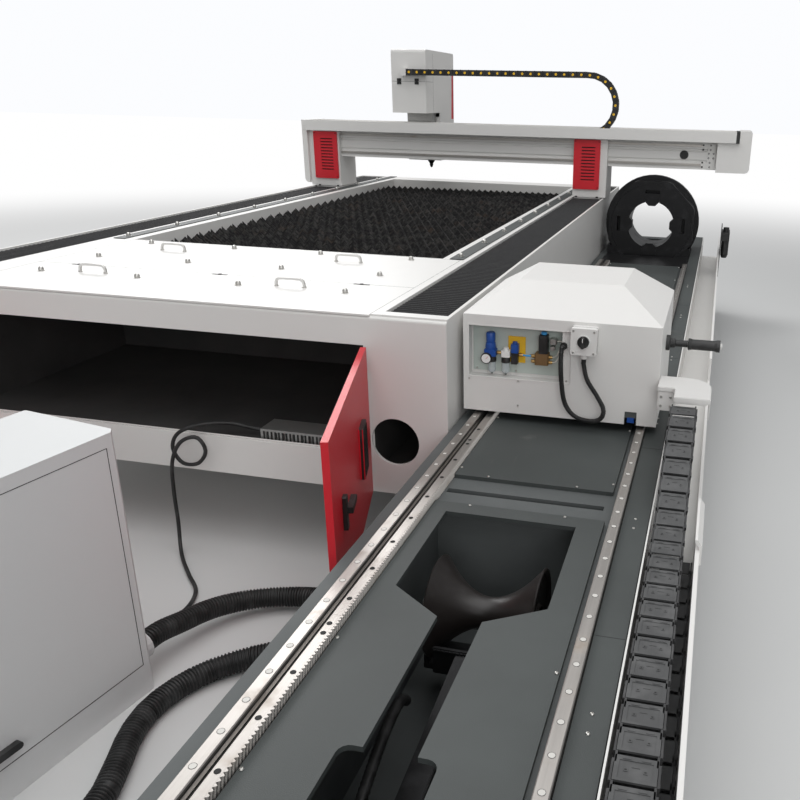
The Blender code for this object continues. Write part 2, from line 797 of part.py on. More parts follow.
def rear_carriage(looks, chuck):
    """Carriage plate with its four rail blocks and the headstock that holds the rotor."""
    plate_z = 0.632
    plate = box(
        (HOOD_LEFT + HOOD_SHEET + GAP, HOOD_RIGHT - HOOD_SHEET - GAP),
        (HOOD_FRONT + HOOD_SHEET + GAP, HOOD_REAR - HOOD_SHEET - GAP),
        (plate_z, plate_z + 0.028),
    )
    item = part("rear_carriage", plate, looks["frame"], chuck)
    blocks = []
    half = RAIL_WIDTH / 2
    for middle in (0.0, RAIL_SPACING):
        outer_left = middle - half - 0.009
        outer_right = middle + half + 0.009
        for along in (HOOD_FRONT + 0.05, HOOD_REAR - 0.13):
            blocks.append(
                box((outer_left, outer_right), (along, along + 0.08), (RAIL_TOP - 0.012, plate_z + 0.001))
            )
    add(item, merged(*blocks))
    grooves = []
    for middle in (0.0, RAIL_SPACING):
        grooves.append(
            box(
                (middle - half - GAP, middle + half + GAP),
                (HOOD_FRONT, HOOD_REAR),
                (RAIL_TOP - 0.02, RAIL_TOP + GAP),
            )
        )
    cut(item, merged(*grooves))
    head = rounded(
        [
            (CHUCK_X - 0.15, plate_z + 0.02),
            (CHUCK_X + 0.15, plate_z + 0.02),
            (CHUCK_X + 0.15, HOOD_EAVES),
            (CHUCK_X - 0.15, HOOD_EAVES),
        ],
        [0, 0, 0.09, 0.09],
    )
    add(item, prism(head, "Y", HOOD_REAR - 0.19, HOOD_REAR - 0.06))
    bore = rod("Y", (CHUCK_X, HOOD_REAR, CHUCK_Z), REAR_NECK_RADIUS + GAP, -0.25, 0.05, 56)
    return cut(item, delete_loose(bore))


def hood_block(inset, bottom):
    """The hood's hipped form, drawn in by an inset."""
    form = bmesh.new()
    left = HOOD_LEFT + inset
    right = HOOD_RIGHT - inset
    front = HOOD_FRONT + inset
    rear = HOOD_REAR - inset
    eaves = HOOD_EAVES - inset * 0.4
    top = HOOD_TOP - inset
    levels = [
        (left, right, front, rear, bottom),
        (left, right, front, rear, eaves),
        (left + 0.135, right - 0.155, front + 0.240, rear - 0.004, top),
    ]
    rings = []
    for x0, x1, y0, y1, z in levels:
        rings.append([form.verts.new(point) for point in ((x0, y0, z), (x1, y0, z), (x1, y1, z), (x0, y1, z))])
    form.faces.new(list(reversed(rings[0])))
    form.faces.new(rings[2])
    for low, high in zip(rings, rings[1:]):
        for index in range(4):
            after = (index + 1) % 4
            form.faces.new((low[index], low[after], high[after], high[index]))
    return form


def hood(looks, chuck):
    """Sheet metal hood over the rear chuck: a hipped shell, open below, with a recess at the front."""
    item = part("hood", hood_block(0.0, HOOD_BOTTOM), looks["white"], chuck)
    cut(item, hood_block(HOOD_SHEET, HOOD_BOTTOM - 0.05))
    recess = box(
        (-0.030, 0.315), (HOOD_FRONT - 0.02, HOOD_FRONT + 0.03), (PANEL_BOTTOM + 0.010, PANEL_TOP - 0.010)
    )
    cut(item, recess)
    cut(item, box((0.500, 0.540), (HOOD_FRONT - 0.02, HOOD_FRONT + 0.03), (HOOD_BOTTOM - 0.01, 0.655)))
    mouth = delete_loose(rod("Y", (CHUCK_X, HOOD_REAR, CHUCK_Z), REAR_NECK_RADIUS + 0.012, -0.03, 0.03, 32))
    cut(item, mouth)
    shaft_y = HOOD_FRONT + 0.250
    shaft = delete_loose(rod("X", (HOOD_RIGHT, shaft_y, HANDLE_HEIGHT), 0.011, -0.004, 0.190, 12))
    add(item, shaft)
    boss = delete_loose(rod("X", (HOOD_RIGHT, shaft_y, HANDLE_HEIGHT), 0.026, -0.003, 0.012, 16))
    return add(item, boss)


def air_panel(looks, chuck):
    """Pan behind the hood's recess with the air regulator, two bowls and a valve on it."""
    front = HOOD_FRONT + HOOD_SHEET + GAP
    back = front + 0.050
    pan = box((-0.040, 0.325), (front, back + 0.004), (PANEL_BOTTOM, PANEL_TOP))
    item = part("air_panel", pan, looks["white"], chuck)
    cut(item, box((-0.036, 0.321), (front - 0.01, back), (PANEL_BOTTOM + 0.004, PANEL_TOP - 0.004)))
    rail_y = back - 0.030
    add(item, box((0.000, 0.120), (rail_y, back + 0.002), (PANEL_BOTTOM + 0.097, PANEL_BOTTOM + 0.139)))
    bowls = []
    for across in (0.020, 0.062):
        low = PANEL_BOTTOM + 0.035
        bowl = [(0.0, low), (0.010, low), (0.017, low + 0.010), (0.017, low + 0.064), (0.0, low + 0.064)]
        bowls.append(delete_loose(lathe(bowl, "Z", (across, rail_y + 0.008, 0.0), 12)))
    add(item, merged(*bowls))
    add(item, delete_loose(rod("Y", (0.020, rail_y, PANEL_BOTTOM + 0.125), 0.021, -0.016, 0.004, 16)))
    add(
        item,
        merged(
            box((0.205, 0.255), (back - 0.034, back + 0.002), (PANEL_BOTTOM + 0.077, PANEL_BOTTOM + 0.157)),
            box((0.268, 0.292), (back - 0.030, back + 0.002), (PANEL_BOTTOM + 0.037, PANEL_BOTTOM + 0.077)),
        ),
    )
    gland = delete_loose(
        rod("Y", (0.290, HOOD_FRONT, GLAND_HEIGHT), 0.013, -0.014, back - HOOD_FRONT + 0.002, 12)
    )
    return add(item, gland)


def switch_box(looks, chuck):
    """Small control box on the hood's front, with a gland under it."""
    outline = rounded(rectangle((0.319, 0.403), (BOX_BOTTOM, BOX_BOTTOM + 0.088)), 0.006, 2)
    item = part(
        "switch_box", prism(outline, "Y", HOOD_FRONT - 0.044, HOOD_FRONT - GAP), looks["white"], chuck
    )
    add(item, delete_loose(rod("Z", (0.361, HOOD_FRONT - 0.022, BOX_BOTTOM), 0.011, -0.016, 0.002, 12)))
    return item


def selector_knob(looks, knob):
    """Rotary knob with a raised grip bar."""
    face = HOOD_FRONT - 0.044 - GAP
    centre = (0.361, face, KNOB_HEIGHT)
    form = delete_loose(rod("Y", centre, 0.019, -0.010, 0.0, 20))
    item = part("selector_knob", form, looks["black"], knob, smooth=35)
    grip = rounded(
        rectangle((0.361 - 0.006, 0.361 + 0.006), (KNOB_HEIGHT - 0.018, KNOB_HEIGHT + 0.018)), 0.005, 2
    )
    return add(item, prism(grip, "Y", face - 0.024, face - 0.008))


def chain_bracket(looks, chuck):
    """Folded arm from the hood to the drag chain's carried end, with a rounded outer corner."""
    low = CHAIN_UPPER_Z + CHAIN_RISE + CHAIN_HEIGHT / 2 + GAP
    outline = rounded(
        [
            (HOOD_RIGHT + GAP, low + 0.004),
            (0.772, low + 0.004),
            (0.772, low + 0.026),
            (HOOD_RIGHT + GAP, low + 0.026),
        ],
        [0, 0, 0.016, 0],
        3,
    )
    item = part(
        "chain_bracket",
        prism(outline, "Y", CHAIN_CARRIED_Y - 0.005, HOOD_FRONT + 0.10),
        looks["white"],
        chuck,
    )
    outer = box((0.765, 0.772), (CHAIN_CARRIED_Y - 0.005, HOOD_FRONT + 0.10), (low - 0.045, low + 0.012))
    add(item, outer)
    web = box((HOOD_RIGHT + GAP, 0.760), (HOOD_FRONT + 0.02, HOOD_FRONT + 0.09), (low - 0.060, low + 0.010))
    add(item, web)
    seat = box(
        (CHAIN_X + 0.004, CHAIN_X + CHAIN_WIDTH - 0.004),
        (CHAIN_CARRIED_Y - 0.004, CHAIN_CARRIED_Y + 0.050),
        (low, low + 0.006),
    )
    return add(item, seat)


def push_handle(looks, grip):
    """Rubber grip that turns on the shaft at the hood's right side."""
    profile = [
        (0.0115, 0.0),
        (0.019, 0.0),
        (0.021, 0.004),
        (0.018, 0.014),
        (0.018, 0.088),
        (0.021, 0.098),
        (0.021, 0.108),
        (0.0115, 0.108),
    ]
    form = lathe(profile, "X", (0.680, HOOD_FRONT + 0.250, HANDLE_HEIGHT), 20)
    return part("push_handle", form, looks["black"], grip, smooth=35)


def chuck_jaw_shape(centre_y, inner, outer, width, depth):
    """One jaw above the axis, stepped and pointed towards the middle."""
    half = width / 2
    outline = [
        (CHUCK_X - half * 0.45, CHUCK_Z + inner),
        (CHUCK_X + half * 0.45, CHUCK_Z + inner),
        (CHUCK_X + half, CHUCK_Z + inner + half * 0.55),
        (CHUCK_X + half, CHUCK_Z + outer),
        (CHUCK_X - half, CHUCK_Z + outer),
        (CHUCK_X - half, CHUCK_Z + inner + half * 0.55),
    ]
    return prism(outline, "Y", centre_y, centre_y + depth)


def about_axis(form, quarter):
    """Turn a form about the chucks' axis by quarter turns."""
    centre = Vector((CHUCK_X, 0.0, CHUCK_Z))
    turn = Matrix.Rotation(quarter * math.pi / 2, 4, "Y")
    form.transform(Matrix.Translation(centre) @ turn @ Matrix.Translation(-centre))
    return form


def rear_rotor(looks, spin):
    """Rear chuck disc with its neck in the headstock and four short jaws."""
    face = HOOD_REAR + 0.012
    profile = [
        (REAR_BORE_RADIUS, -0.180),
        (REAR_NECK_RADIUS, -0.180),
        (REAR_NECK_RADIUS, 0.012),
        (REAR_ROTOR_RADIUS, 0.012),
        (REAR_ROTOR_RADIUS, 0.062),
        (REAR_ROTOR_RADIUS - 0.010, 0.072),
        (REAR_BORE_RADIUS, 0.072),
    ]
    item = part(
        "rear_rotor",
        lathe(profile, "Y", (CHUCK_X, HOOD_REAR, CHUCK_Z), 32),
        looks["black_steel"],
        spin,
        smooth=35,
    )
    for quarter in range(4):
        jaw = chuck_jaw_shape(face + 0.055, 0.072, 0.150, 0.050, 0.060)
        add(item, about_axis(jaw, quarter))
    return item


# Front chuck


def front_chuck_body(looks, base):
    """Front chuck housing: octagonal nose, ring gear cover, drum and foot plate."""
    depth = FRONT_CHUCK_LENGTH
    radius = FRONT_BODY_RADIUS
    nose = circle((CHUCK_X, CHUCK_Z), radius / math.cos(math.pi / 8) * 0.985, 8, math.pi / 8)
    nose = rounded(nose, 0.060, 3)
    item = part(
        "front_chuck_body",
        prism(nose, "Y", FRONT_CHUCK_Y, FRONT_CHUCK_Y + 0.16),
        looks["black_steel"],
        base,
        smooth=30,
    )
    drum = [
        (0.0, 0.115),
        (FRONT_RING_RADIUS, 0.115),
        (FRONT_RING_RADIUS, 0.165),
        (radius, 0.170),
        (radius, depth),
        (0.0, depth),
    ]
    add(item, delete_loose(lathe(drum, "Y", (CHUCK_X, FRONT_CHUCK_Y, CHUCK_Z), 48)))
    seat_z = FRAME_TOP + GAP
    beside = []
    for low, high in ((-0.10, FRAME_LEFT + FRAME_WALL + 0.006), (FRAME_RIGHT - FRAME_WALL - 0.006, 0.70)):
        beside.append(
            box((low, high), (FRONT_CHUCK_Y - 0.05, FRONT_CHUCK_Y + depth + 0.05), (0.40, seat_z))
        )
    cut(item, merged(*beside))
    feet = []
    for low, high in ((-0.015, 0.095), (0.470, 0.565)):
        feet.append(
            box(
                (low, high), (FRONT_CHUCK_Y + 0.012, FRONT_CHUCK_Y + depth - 0.02), (seat_z, seat_z + 0.065)
            )
        )
    add(item, merged(*feet))
    plate = box((-0.015, 0.565), (FOOT_PLATE_FRONT + GAP, FRONT_CHUCK_Y + 0.040), (seat_z, seat_z + 0.012))
    add(item, plate)
    seat = rod(
        "Y", (CHUCK_X, FRONT_CHUCK_Y, CHUCK_Z), FRONT_ROTOR_RADIUS + GAP, -0.05, FRONT_SEAT_DEPTH, 72
    )
    cut(item, delete_loose(seat))
    bore = rod("Y", (CHUCK_X, FRONT_CHUCK_Y, CHUCK_Z), FRONT_BORE_RADIUS + 0.02, -0.05, depth + 0.1, 36)
    return cut(item, delete_loose(bore))


def front_rotor(looks, spin):
    """Front chuck rotor: a bored disc with four radial jaw slots in its face."""
    profile = ring_profile(FRONT_BORE_RADIUS, FRONT_ROTOR_RADIUS, JAW_STANDOFF, FRONT_SEAT_DEPTH - GAP)
    item = part(
        "front_rotor",
        lathe(profile, "Y", (CHUCK_X, FRONT_CHUCK_Y, CHUCK_Z), 48),
        looks["black_steel"],
        spin,
        smooth=30,
    )
    half = JAW_WIDTH / 2 + GAP
    low = CHUCK_Z + 0.05
    high = CHUCK_Z + JAW_OUTER + 0.022
    for quarter in range(4):
        slot = box(
            (CHUCK_X - half, CHUCK_X + half),
            (FRONT_CHUCK_Y - 0.01, FRONT_CHUCK_Y + JAW_STANDOFF + JAW_DEPTH + GAP),
            (low, high),
        )
        cut(item, about_axis(slot, quarter))
    return item


def front_jaw(name, quarter, looks, slide):
    form = chuck_jaw_shape(FRONT_CHUCK_Y + JAW_STANDOFF, JAW_INNER, JAW_OUTER, JAW_WIDTH, JAW_DEPTH)
    return part(name, about_axis(form, quarter), looks["steel"], slide)


def air_unit(looks, base):
    """Air service unit on a bracket at the trough, beside the front chuck."""
    left = TROUGH_RIGHT + GAP
    item = part(
        "air_unit",
        box((left, left + 0.006), (FRONT_CHUCK_Y + 0.02, FRONT_CHUCK_Y + 0.20), (0.45, 0.80)),
        looks["black"],
        base,
    )
    add(item, box((left + 0.003, left + 0.060), (FRONT_CHUCK_Y + 0.03, FRONT_CHUCK_Y + 0.19), (0.70, 0.76)))
    bowls = []
    for along in (0.07, 0.15):
        bowl = [(0.0, 0.58), (0.018, 0.58), (0.026, 0.60), (0.026, 0.705), (0.0, 0.705)]
        bowls.append(delete_loose(lathe(bowl, "Z", (left + 0.034, FRONT_CHUCK_Y + along, 0.0), 14)))
    add(item, merged(*bowls))
    knob = [(0.0, 0.755), (0.020, 0.755), (0.020, 0.790), (0.0, 0.790)]
    return add(item, delete_loose(lathe(knob, "Z", (left + 0.034, FRONT_CHUCK_Y + 0.07, 0.0), 14)))


# Sheet bed


def sheet_bed_body(looks, base):
    """Welded sheet bed: open front bay, cutting well with its rear mouth, two bellows channels, feet."""
    block = box((BED_LEFT, BED_RIGHT), (BODY_FRONT, BED_REAR), (FACE_BOTTOM, BED_TOP))
    item = part("sheet_bed_body", block, looks["white"], base)
    lid_seat = box(
        (LID_LEFT - GAP, LID_RIGHT + GAP),
        (BODY_FRONT - 0.05, LID_REAR + GAP),
        (LID_BOTTOM - GAP, BED_TOP + 0.05),
    )
    cut(item, lid_seat)
    bay = box((BAY_LEFT, BAY_RIGHT), (BODY_FRONT - 0.06, LID_REAR - 0.055), (BAY_FLOOR, LID_BOTTOM - 0.030))
    cut(item, bay)
    hatch = box(
        (LID_LEFT + 0.03, LID_RIGHT - 0.03),
        (BODY_FRONT + 0.04, LID_REAR - 0.055),
        (BAY_FLOOR + 0.1, BED_TOP + 0.04),
    )
    cut(item, hatch)
    well = box(
        (TABLE_LEFT + 0.02, TABLE_RIGHT - 0.02),
        (LID_REAR + 0.03, TABLE_REAR - 0.02),
        (FACE_BOTTOM + WELL_FLOOR, BED_TOP + 0.05),
    )
    cut(item, well)
    mouth_x = (TABLE_LEFT + SCRAP_MOUTH_MARGIN, TABLE_RIGHT - SCRAP_MOUTH_MARGIN)
    mouth_z = (FACE_BOTTOM + WELL_FLOOR, FACE_BOTTOM + WELL_FLOOR + SCRAP_MOUTH_HEIGHT)
    cut(item, box(mouth_x, (TABLE_REAR - 0.05, BED_REAR + 0.05), mouth_z))
    seat_z = SLAT_TOP - SLAT_HEIGHT - GAP
    seat = box(
        (TABLE_LEFT - GAP, TABLE_RIGHT + GAP),
        (LID_REAR + 0.01 - GAP, TABLE_REAR + GAP),
        (seat_z, BED_TOP + 0.05),
    )
    cut(item, seat)
    channels = []
    for low, high in (LEFT_CHANNEL, RIGHT_CHANNEL):
        channels.append(
            box((low, high), (BODY_FRONT + 0.045, BED_REAR - 0.006), (CHANNEL_FLOOR, BED_TOP + 0.05))
        )
    cut(item, merged(*channels))
    pocket = box(
        (RIGHT_CHANNEL[0] - 0.04, BED_RIGHT - 0.025),
        (BODY_FRONT - 0.05, 2.40),
        (0.38, CHANNEL_FLOOR - 0.04),
    )
    cut(item, pocket)
    rails = []
    for low, high in (LEFT_CHANNEL, RIGHT_CHANNEL):
        middle = (low + high) / 2
        rails.append(
            box(
                (middle - GUIDE_WIDTH / 2, middle + GUIDE_WIDTH / 2),
                (BODY_FRONT + 0.07, BED_REAR - 0.05),
                (CHANNEL_FLOOR - 0.002, CHANNEL_FLOOR + GUIDE_HEIGHT),
            )
        )
    add(item, merged(*rails))
    feet = []
    foot = [
        (0.0, 0.0),
        (0.075, 0.0),
        (0.075, 0.018),
        (0.030, 0.030),
        (0.030, 0.150),
        (0.050, 0.160),
        (0.050, FACE_BOTTOM + 0.01),
    ]
    foot.append((0.0, FACE_BOTTOM + 0.01))
    for across in (BED_LEFT + 0.13, BED_RIGHT - 0.13):
        for index in range(4):
            along = BED_FRONT + 0.16 + index * (BED_LENGTH - 0.32) / 3
            feet.append(delete_loose(lathe(foot, "Z", (across, along, 0.0), 12)))
    return add(item, merged(*feet))


def knuckles(x, y, raised):
    """Hinge knuckles of a bay door: the lower one of each pair is the bed's, the upper the door's."""
    low = LINTEL_BOTTOM - DOOR_HEIGHT
    forms = []
    for start in (low + 0.060, low + DOOR_HEIGHT - 0.120):
        bottom = start + (KNUCKLE_LENGTH + GAP if raised else 0.0)
        forms.append(delete_loose(rod("Z", (x, y, bottom), KNUCKLE_RADIUS, 0.0, KNUCKLE_LENGTH, 12)))
    return forms


def front_fascia(looks, base):
    """Front face plate with the bay's window and the round cable port."""
    top = LID_BOTTOM - GAP
    outline = rounded(
        [
            (BED_FRONT, FACE_BOTTOM),
            (BED_FRONT + FASCIA_THICKNESS, FACE_BOTTOM),
            (BED_FRONT + FASCIA_THICKNESS, top),
            (BED_FRONT, top),
        ],
        [0, 0, 0, 0.010],
    )
    item = part("front_fascia", prism(outline, "X", BED_LEFT, BED_RIGHT), looks["white"], base)
    window = box((BAY_LEFT, BAY_RIGHT), (BED_FRONT - 0.02, BODY_FRONT + 0.02), (SILL_TOP, LINTEL_BOTTOM))
    cut(item, window)
    port = rod("Y", (PORT_X, BED_FRONT, PORT_Z), PORT_RADIUS, -0.03, 0.05, 40)
    cut(item, delete_loose(port))
    axis_y = BED_FRONT - DOOR_STANDOFF
    leaves = []
    barrels = []
    for x in (BAY_LEFT - 0.006, BAY_RIGHT + 0.006):
        for barrel in knuckles(x, axis_y, False):
            low = min(corner.co.z for corner in barrel.verts)
            leaves.append(
                box((x - 0.004, x + 0.004), (axis_y, BED_FRONT + 0.001), (low, low + KNUCKLE_LENGTH))
            )
            barrels.append(barrel)
    add(item, merged(*leaves))
    return add(item, merged(*barrels))


def bow_handle(across, along):
    """Half of a rounded bow, standing on the lid."""
    outer = rounded(
        [(-0.060, -0.001), (0.060, -0.001), (0.060, 0.034), (-0.060, 0.034)], [0, 0, 0.022, 0.022], 4
    )
    inner = rounded(
        [(-0.052, -0.001), (-0.052, 0.026), (0.052, 0.026), (0.052, -0.001)], [0, 0.015, 0.015, 0], 4
    )
    outline = [(0.060, -0.001)] + [point for point in outer if point[1] > 0.0] + [(-0.060, -0.001)]
    outline += inner
    outline = [(across + x, BED_TOP + z) for x, z in outline]
    return prism(outline, "Y", along - 0.005, along + 0.005)


def lid(name, front, rear, handle_y, looks, base):
    """Flat lid plate with two bow handles."""
    item = part(
        name, box((LID_LEFT, LID_RIGHT), (front, rear), (LID_BOTTOM, BED_TOP)), looks["white"], base
    )
    middle = (LID_LEFT + LID_RIGHT) / 2
    return add(item, merged(bow_handle(middle - 0.460, handle_y), bow_handle(middle + 0.372, handle_y)))


def slat_table(looks, base):
    """Toothed slats across the cutting well, welded into a rail at each end."""
    low = SLAT_TOP - SLAT_HEIGHT
    front = LID_REAR + 0.01
    rails = merged(
        box((TABLE_LEFT, TABLE_LEFT + 0.025), (front, TABLE_REAR), (low, low + 0.060)),
        box((TABLE_RIGHT - 0.025, TABLE_RIGHT), (front, TABLE_REAR), (low, low + 0.060)),
    )
    left = TABLE_LEFT + 0.010
    right = TABLE_RIGHT - 0.010
    tooth = (right - left) / SLAT_TEETH
    outline = [(left, low + 0.005), (right, low + 0.005), (right, SLAT_TOP - 0.020)]
    for index in reversed(range(SLAT_TEETH)):
        outline.append((left + (index + 0.5) * tooth, SLAT_TOP))
        outline.append((left + index * tooth, SLAT_TOP - 0.020))
    slats = []
    count = int((TABLE_REAR - front - 0.04) / SLAT_PITCH) + 1
    for index in range(count):
        along = front + 0.02 + index * SLAT_PITCH
        slats.append(prism(outline, "Y", along, along + SLAT_THICKNESS))
    item = part("slat_table", merged(*slats), looks["slat"], base)
    return add(item, rails)


def strip(name, middle, looks, base):
    form = box(
        (middle - STRIP_WIDTH / 2, middle + STRIP_WIDTH / 2),
        (LID_REAR + 0.002, BED_REAR),
        (BED_TOP + GAP, BED_TOP + 0.004),
    )
    return part(name, form, looks["deck"], base)


def power_supply(looks, base):
    """Slotted power supply lying behind the sill."""
    form = box(
        (-0.780, -0.440), (BODY_FRONT + 0.010, BODY_FRONT + 0.110), (BAY_FLOOR + GAP, BAY_FLOOR + 0.050)
    )
    item = part("power_supply", form, looks["metal"], base)
    slots = []
    for index in range(9):
        across = -0.760 + index * 0.034
        slots.append(
            box(
                (across, across + 0.012),
                (BODY_FRONT, BODY_FRONT + 0.014),
                (BAY_FLOOR + 0.012, BAY_FLOOR + 0.040),
            )
        )
    return cut(item, merged(*slots))


def bellows(name, channel, front, rear, looks, base):
    """Pleated way cover lying in a channel."""
    count = max(4, round((rear - front) / PLEAT_PITCH))
    step = (rear - front) / count
    crest = BELLOWS_TOP
    valley = BELLOWS_TOP - 0.018
    depth = 0.014
    top = [(front, valley)]
    for index in range(count):
        top.append((front + (index + 0.5) * step, crest))
        top.append((front + (index + 1) * step, valley))
    bottom = [(y, z - depth) for y, z in reversed(top)]
    form = prism(top + bottom, "X", channel[0] + GAP, channel[1] - GAP)
    return part(name, form, looks["bellows"], base)


# Gantry


def gantry_leg(name, low, channel, looks, gantry):
    """Leg with a front plate before the beam, a block under it and a foot on the guide rail."""
    outline = [
        (GANTRY_Y, LEG_BOTTOM),
        (LEG_REAR, LEG_BOTTOM),
        (LEG_REAR, BEAM_BOTTOM - GAP),
        (BEAM_FRONT - GAP, BEAM_BOTTOM - GAP),
        (BEAM_FRONT - GAP, BEAM_TOP),
        (GANTRY_Y, BEAM_TOP),
    ]
    item = part(name, prism(outline, "X", low, low + LEG_WIDTH), looks["white"], gantry)
    foot_low = CHANNEL_FLOOR + GUIDE_HEIGHT + GAP
    foot = box(
        (channel[0] + 0.012, channel[1] - 0.012),
        (GANTRY_Y + 0.010, LEG_REAR - 0.010),
        (foot_low, LEG_BOTTOM + 0.001),
    )
    return add(item, foot)


def vent(name, low, high, looks, gantry):
    """Raised cover on a leg with a ladder of slots."""
    bottom = LEG_BOTTOM + 0.055
    top = BEAM_TOP - 0.005
    outline = rounded(rectangle((low, high), (bottom, top)), 0.008, 2)
    item = part(name, prism(outline, "Y", GANTRY_Y - 0.014, GANTRY_Y - GAP), looks["red"], gantry)
    slots = []
    pitch = 0.022
    start = top - 0.035 - VENT_SLOTS * pitch
    for index in range(VENT_SLOTS):
        height = start + index * pitch
        slots.append(
            box((low + 0.055, high - 0.035), (GANTRY_Y - 0.020, GANTRY_Y - 0.006), (height, height + 0.008))
        )
    return cut(item, merged(*slots))


def beam(looks, gantry):
    """Extruded cross beam with two grooves along its front."""
    outline = [
        (BEAM_FRONT, BEAM_BOTTOM),
        (BEAM_REAR, BEAM_BOTTOM),
        (BEAM_REAR, BEAM_TOP),
        (BEAM_FRONT, BEAM_TOP),
        (BEAM_FRONT, BEAM_TOP - 0.045),
        (BEAM_FRONT + 0.008, BEAM_TOP - 0.049),
        (BEAM_FRONT + 0.008, BEAM_TOP - 0.061),
        (BEAM_FRONT, BEAM_TOP - 0.065),
        (BEAM_FRONT, BEAM_BOTTOM + 0.065),
        (BEAM_FRONT + 0.008, BEAM_BOTTOM + 0.061),
        (BEAM_FRONT + 0.008, BEAM_BOTTOM + 0.049),
        (BEAM_FRONT, BEAM_BOTTOM + 0.045),
    ]
    form = prism(outline, "X", TRAY_LEFT + 0.02, BEAM_RIGHT)
    return part("gantry_beam", form, looks["white"], gantry)


def cover_tray(looks, gantry):
    """Open tray along the beam's top, which holds the head's drag chain."""
    sheet = TRAY_SHEET
    outline = rounded(
        [
            (TRAY_FRONT, TRAY_BOTTOM),
            (TRAY_REAR, TRAY_BOTTOM),
            (TRAY_REAR, TRAY_TOP),
            (TRAY_REAR - sheet, TRAY_TOP),
            (TRAY_REAR - sheet, TRAY_BOTTOM + sheet),
            (TRAY_FRONT + sheet, TRAY_BOTTOM + sheet),
            (TRAY_FRONT + sheet, TRAY_TOP),
            (TRAY_FRONT, TRAY_TOP),
        ],
        [0.004, 0, 0, 0, 0, 0, 0, 0],
    )
    return part("gantry_cover", prism(outline, "X", TRAY_LEFT, TRAY_RIGHT), looks["white"], gantry)


def end_box(looks, gantry):
    outline = rounded(
        [
            (BEAM_RIGHT + GAP, BEAM_BOTTOM - 0.012),
            (END_BOX_RIGHT, BEAM_BOTTOM - 0.012),
            (END_BOX_RIGHT, TRAY_TOP + 0.005),
            (TRAY_RIGHT + GAP, TRAY_TOP + 0.005),
            (TRAY_RIGHT + GAP, TRAY_BOTTOM - GAP),
            (BEAM_RIGHT + GAP, TRAY_BOTTOM - GAP),
        ],
        [0, 0.030, 0.014, 0, 0, 0],
        3,
    )
    item = part(
        "gantry_end_box", prism(outline, "Y", BEAM_FRONT - 0.060, BEAM_REAR + 0.040), looks["white"], gantry
    )
    pocket = box(
        (BEAM_RIGHT + 0.030, END_BOX_RIGHT - 0.010),
        (BEAM_FRONT, BEAM_REAR + 0.10),
        (BEAM_BOTTOM + 0.010, BEAM_TOP - 0.020),
    )
    return cut(item, pocket)


def end_plate(looks, gantry):
    outline = rounded(
        rectangle((END_PLATE_LEFT, TRAY_LEFT - GAP), (LEG_BOTTOM + 0.020, TRAY_TOP)), [0.030, 0, 0, 0], 3
    )
    form = prism(outline, "Y", GANTRY_Y - 0.030, LEG_REAR)
    return part("gantry_end_plate", form, looks["white"], gantry)


def x_chain(looks, gantry):
    """Drag chain from the head, over its bend, back along the tray to its fixed end."""
    lower = TRAY_BOTTOM + TRAY_SHEET + GAP + X_CHAIN_HEIGHT / 2
    upper = lower + 2 * X_CHAIN_RADIUS
    path = [(HEAD_X, upper), (X_CHAIN_BEND, upper)]
    for step in range(1, 16):
        angle = math.pi / 2 - math.pi * step / 16
        path.append(
            (
                X_CHAIN_BEND + X_CHAIN_RADIUS * math.cos(angle),
                lower + X_CHAIN_RADIUS + X_CHAIN_RADIUS * math.sin(angle),
            )
        )
    path += [(X_CHAIN_BEND, lower), (X_CHAIN_BEND - 0.38, lower)]
    form = prism(ribbed_band(path, X_CHAIN_HEIGHT, 0.060), "Y", TRAY_FRONT + 0.016, TRAY_FRONT + 0.066)
    return part("x_chain", form, looks["chain"], gantry)


# Cutting head


def x_carriage(looks, head):
    """Carriage behind the beam, with the upright that guides the cutting head."""
    outline = [
        (BEAM_REAR + GAP, BEAM_BOTTOM + 0.025),
        (BEAM_REAR + 0.080, BEAM_BOTTOM + 0.025),
        (BEAM_REAR + 0.080, HEAD_BOTTOM + 0.010),
        (BEAM_REAR + 0.138, HEAD_BOTTOM + 0.010),
        (BEAM_REAR + 0.138, HEAD_TOP - 0.006 - GAP),
        (BEAM_REAR + GAP, HEAD_TOP - 0.006 - GAP),
    ]
    form = prism(outline, "X", HEAD_LEFT + 0.030, HEAD_RIGHT - 0.030)
    return part("x_carriage", form, looks["metal"], head)


def head_housing(looks, head):
    """Shell over the head's drives, with a deep skirt behind the beam; open below."""
    skirt_y = BEAM_REAR + 0.090
    outline = rounded(
        [
            (HEAD_FRONT, HEAD_BOTTOM),
            (skirt_y, HEAD_BOTTOM),
            (skirt_y, HEAD_SKIRT),
            (HEAD_REAR, HEAD_SKIRT),
            (HEAD_REAR, HEAD_TOP),
            (HEAD_FRONT, HEAD_TOP),
        ],
        [0, 0, 0, 0.02, 0.02, 0.02],
        3,
    )
    item = part("head_housing", prism(outline, "X", HEAD_LEFT, HEAD_RIGHT), looks["white"], head)
    wall = 0.006
    inner = (HEAD_LEFT + wall, HEAD_RIGHT - wall)
    cut(item, box(inner, (HEAD_FRONT + wall, HEAD_REAR - wall), (HEAD_BOTTOM - 0.03, HEAD_TOP - wall)))
    cut(item, box(inner, (skirt_y + wall, HEAD_REAR - wall), (HEAD_SKIRT - 0.03, HEAD_BOTTOM)))
    upper = TRAY_BOTTOM + TRAY_SHEET + GAP + X_CHAIN_HEIGHT / 2 + 2 * X_CHAIN_RADIUS
    bracket = box(
        (HEAD_X - 0.045, HEAD_X - GAP),
        (TRAY_FRONT + 0.014, HEAD_FRONT + 0.003),
        (upper - 0.026, upper + 0.026),
    )
    return add(item, bracket)


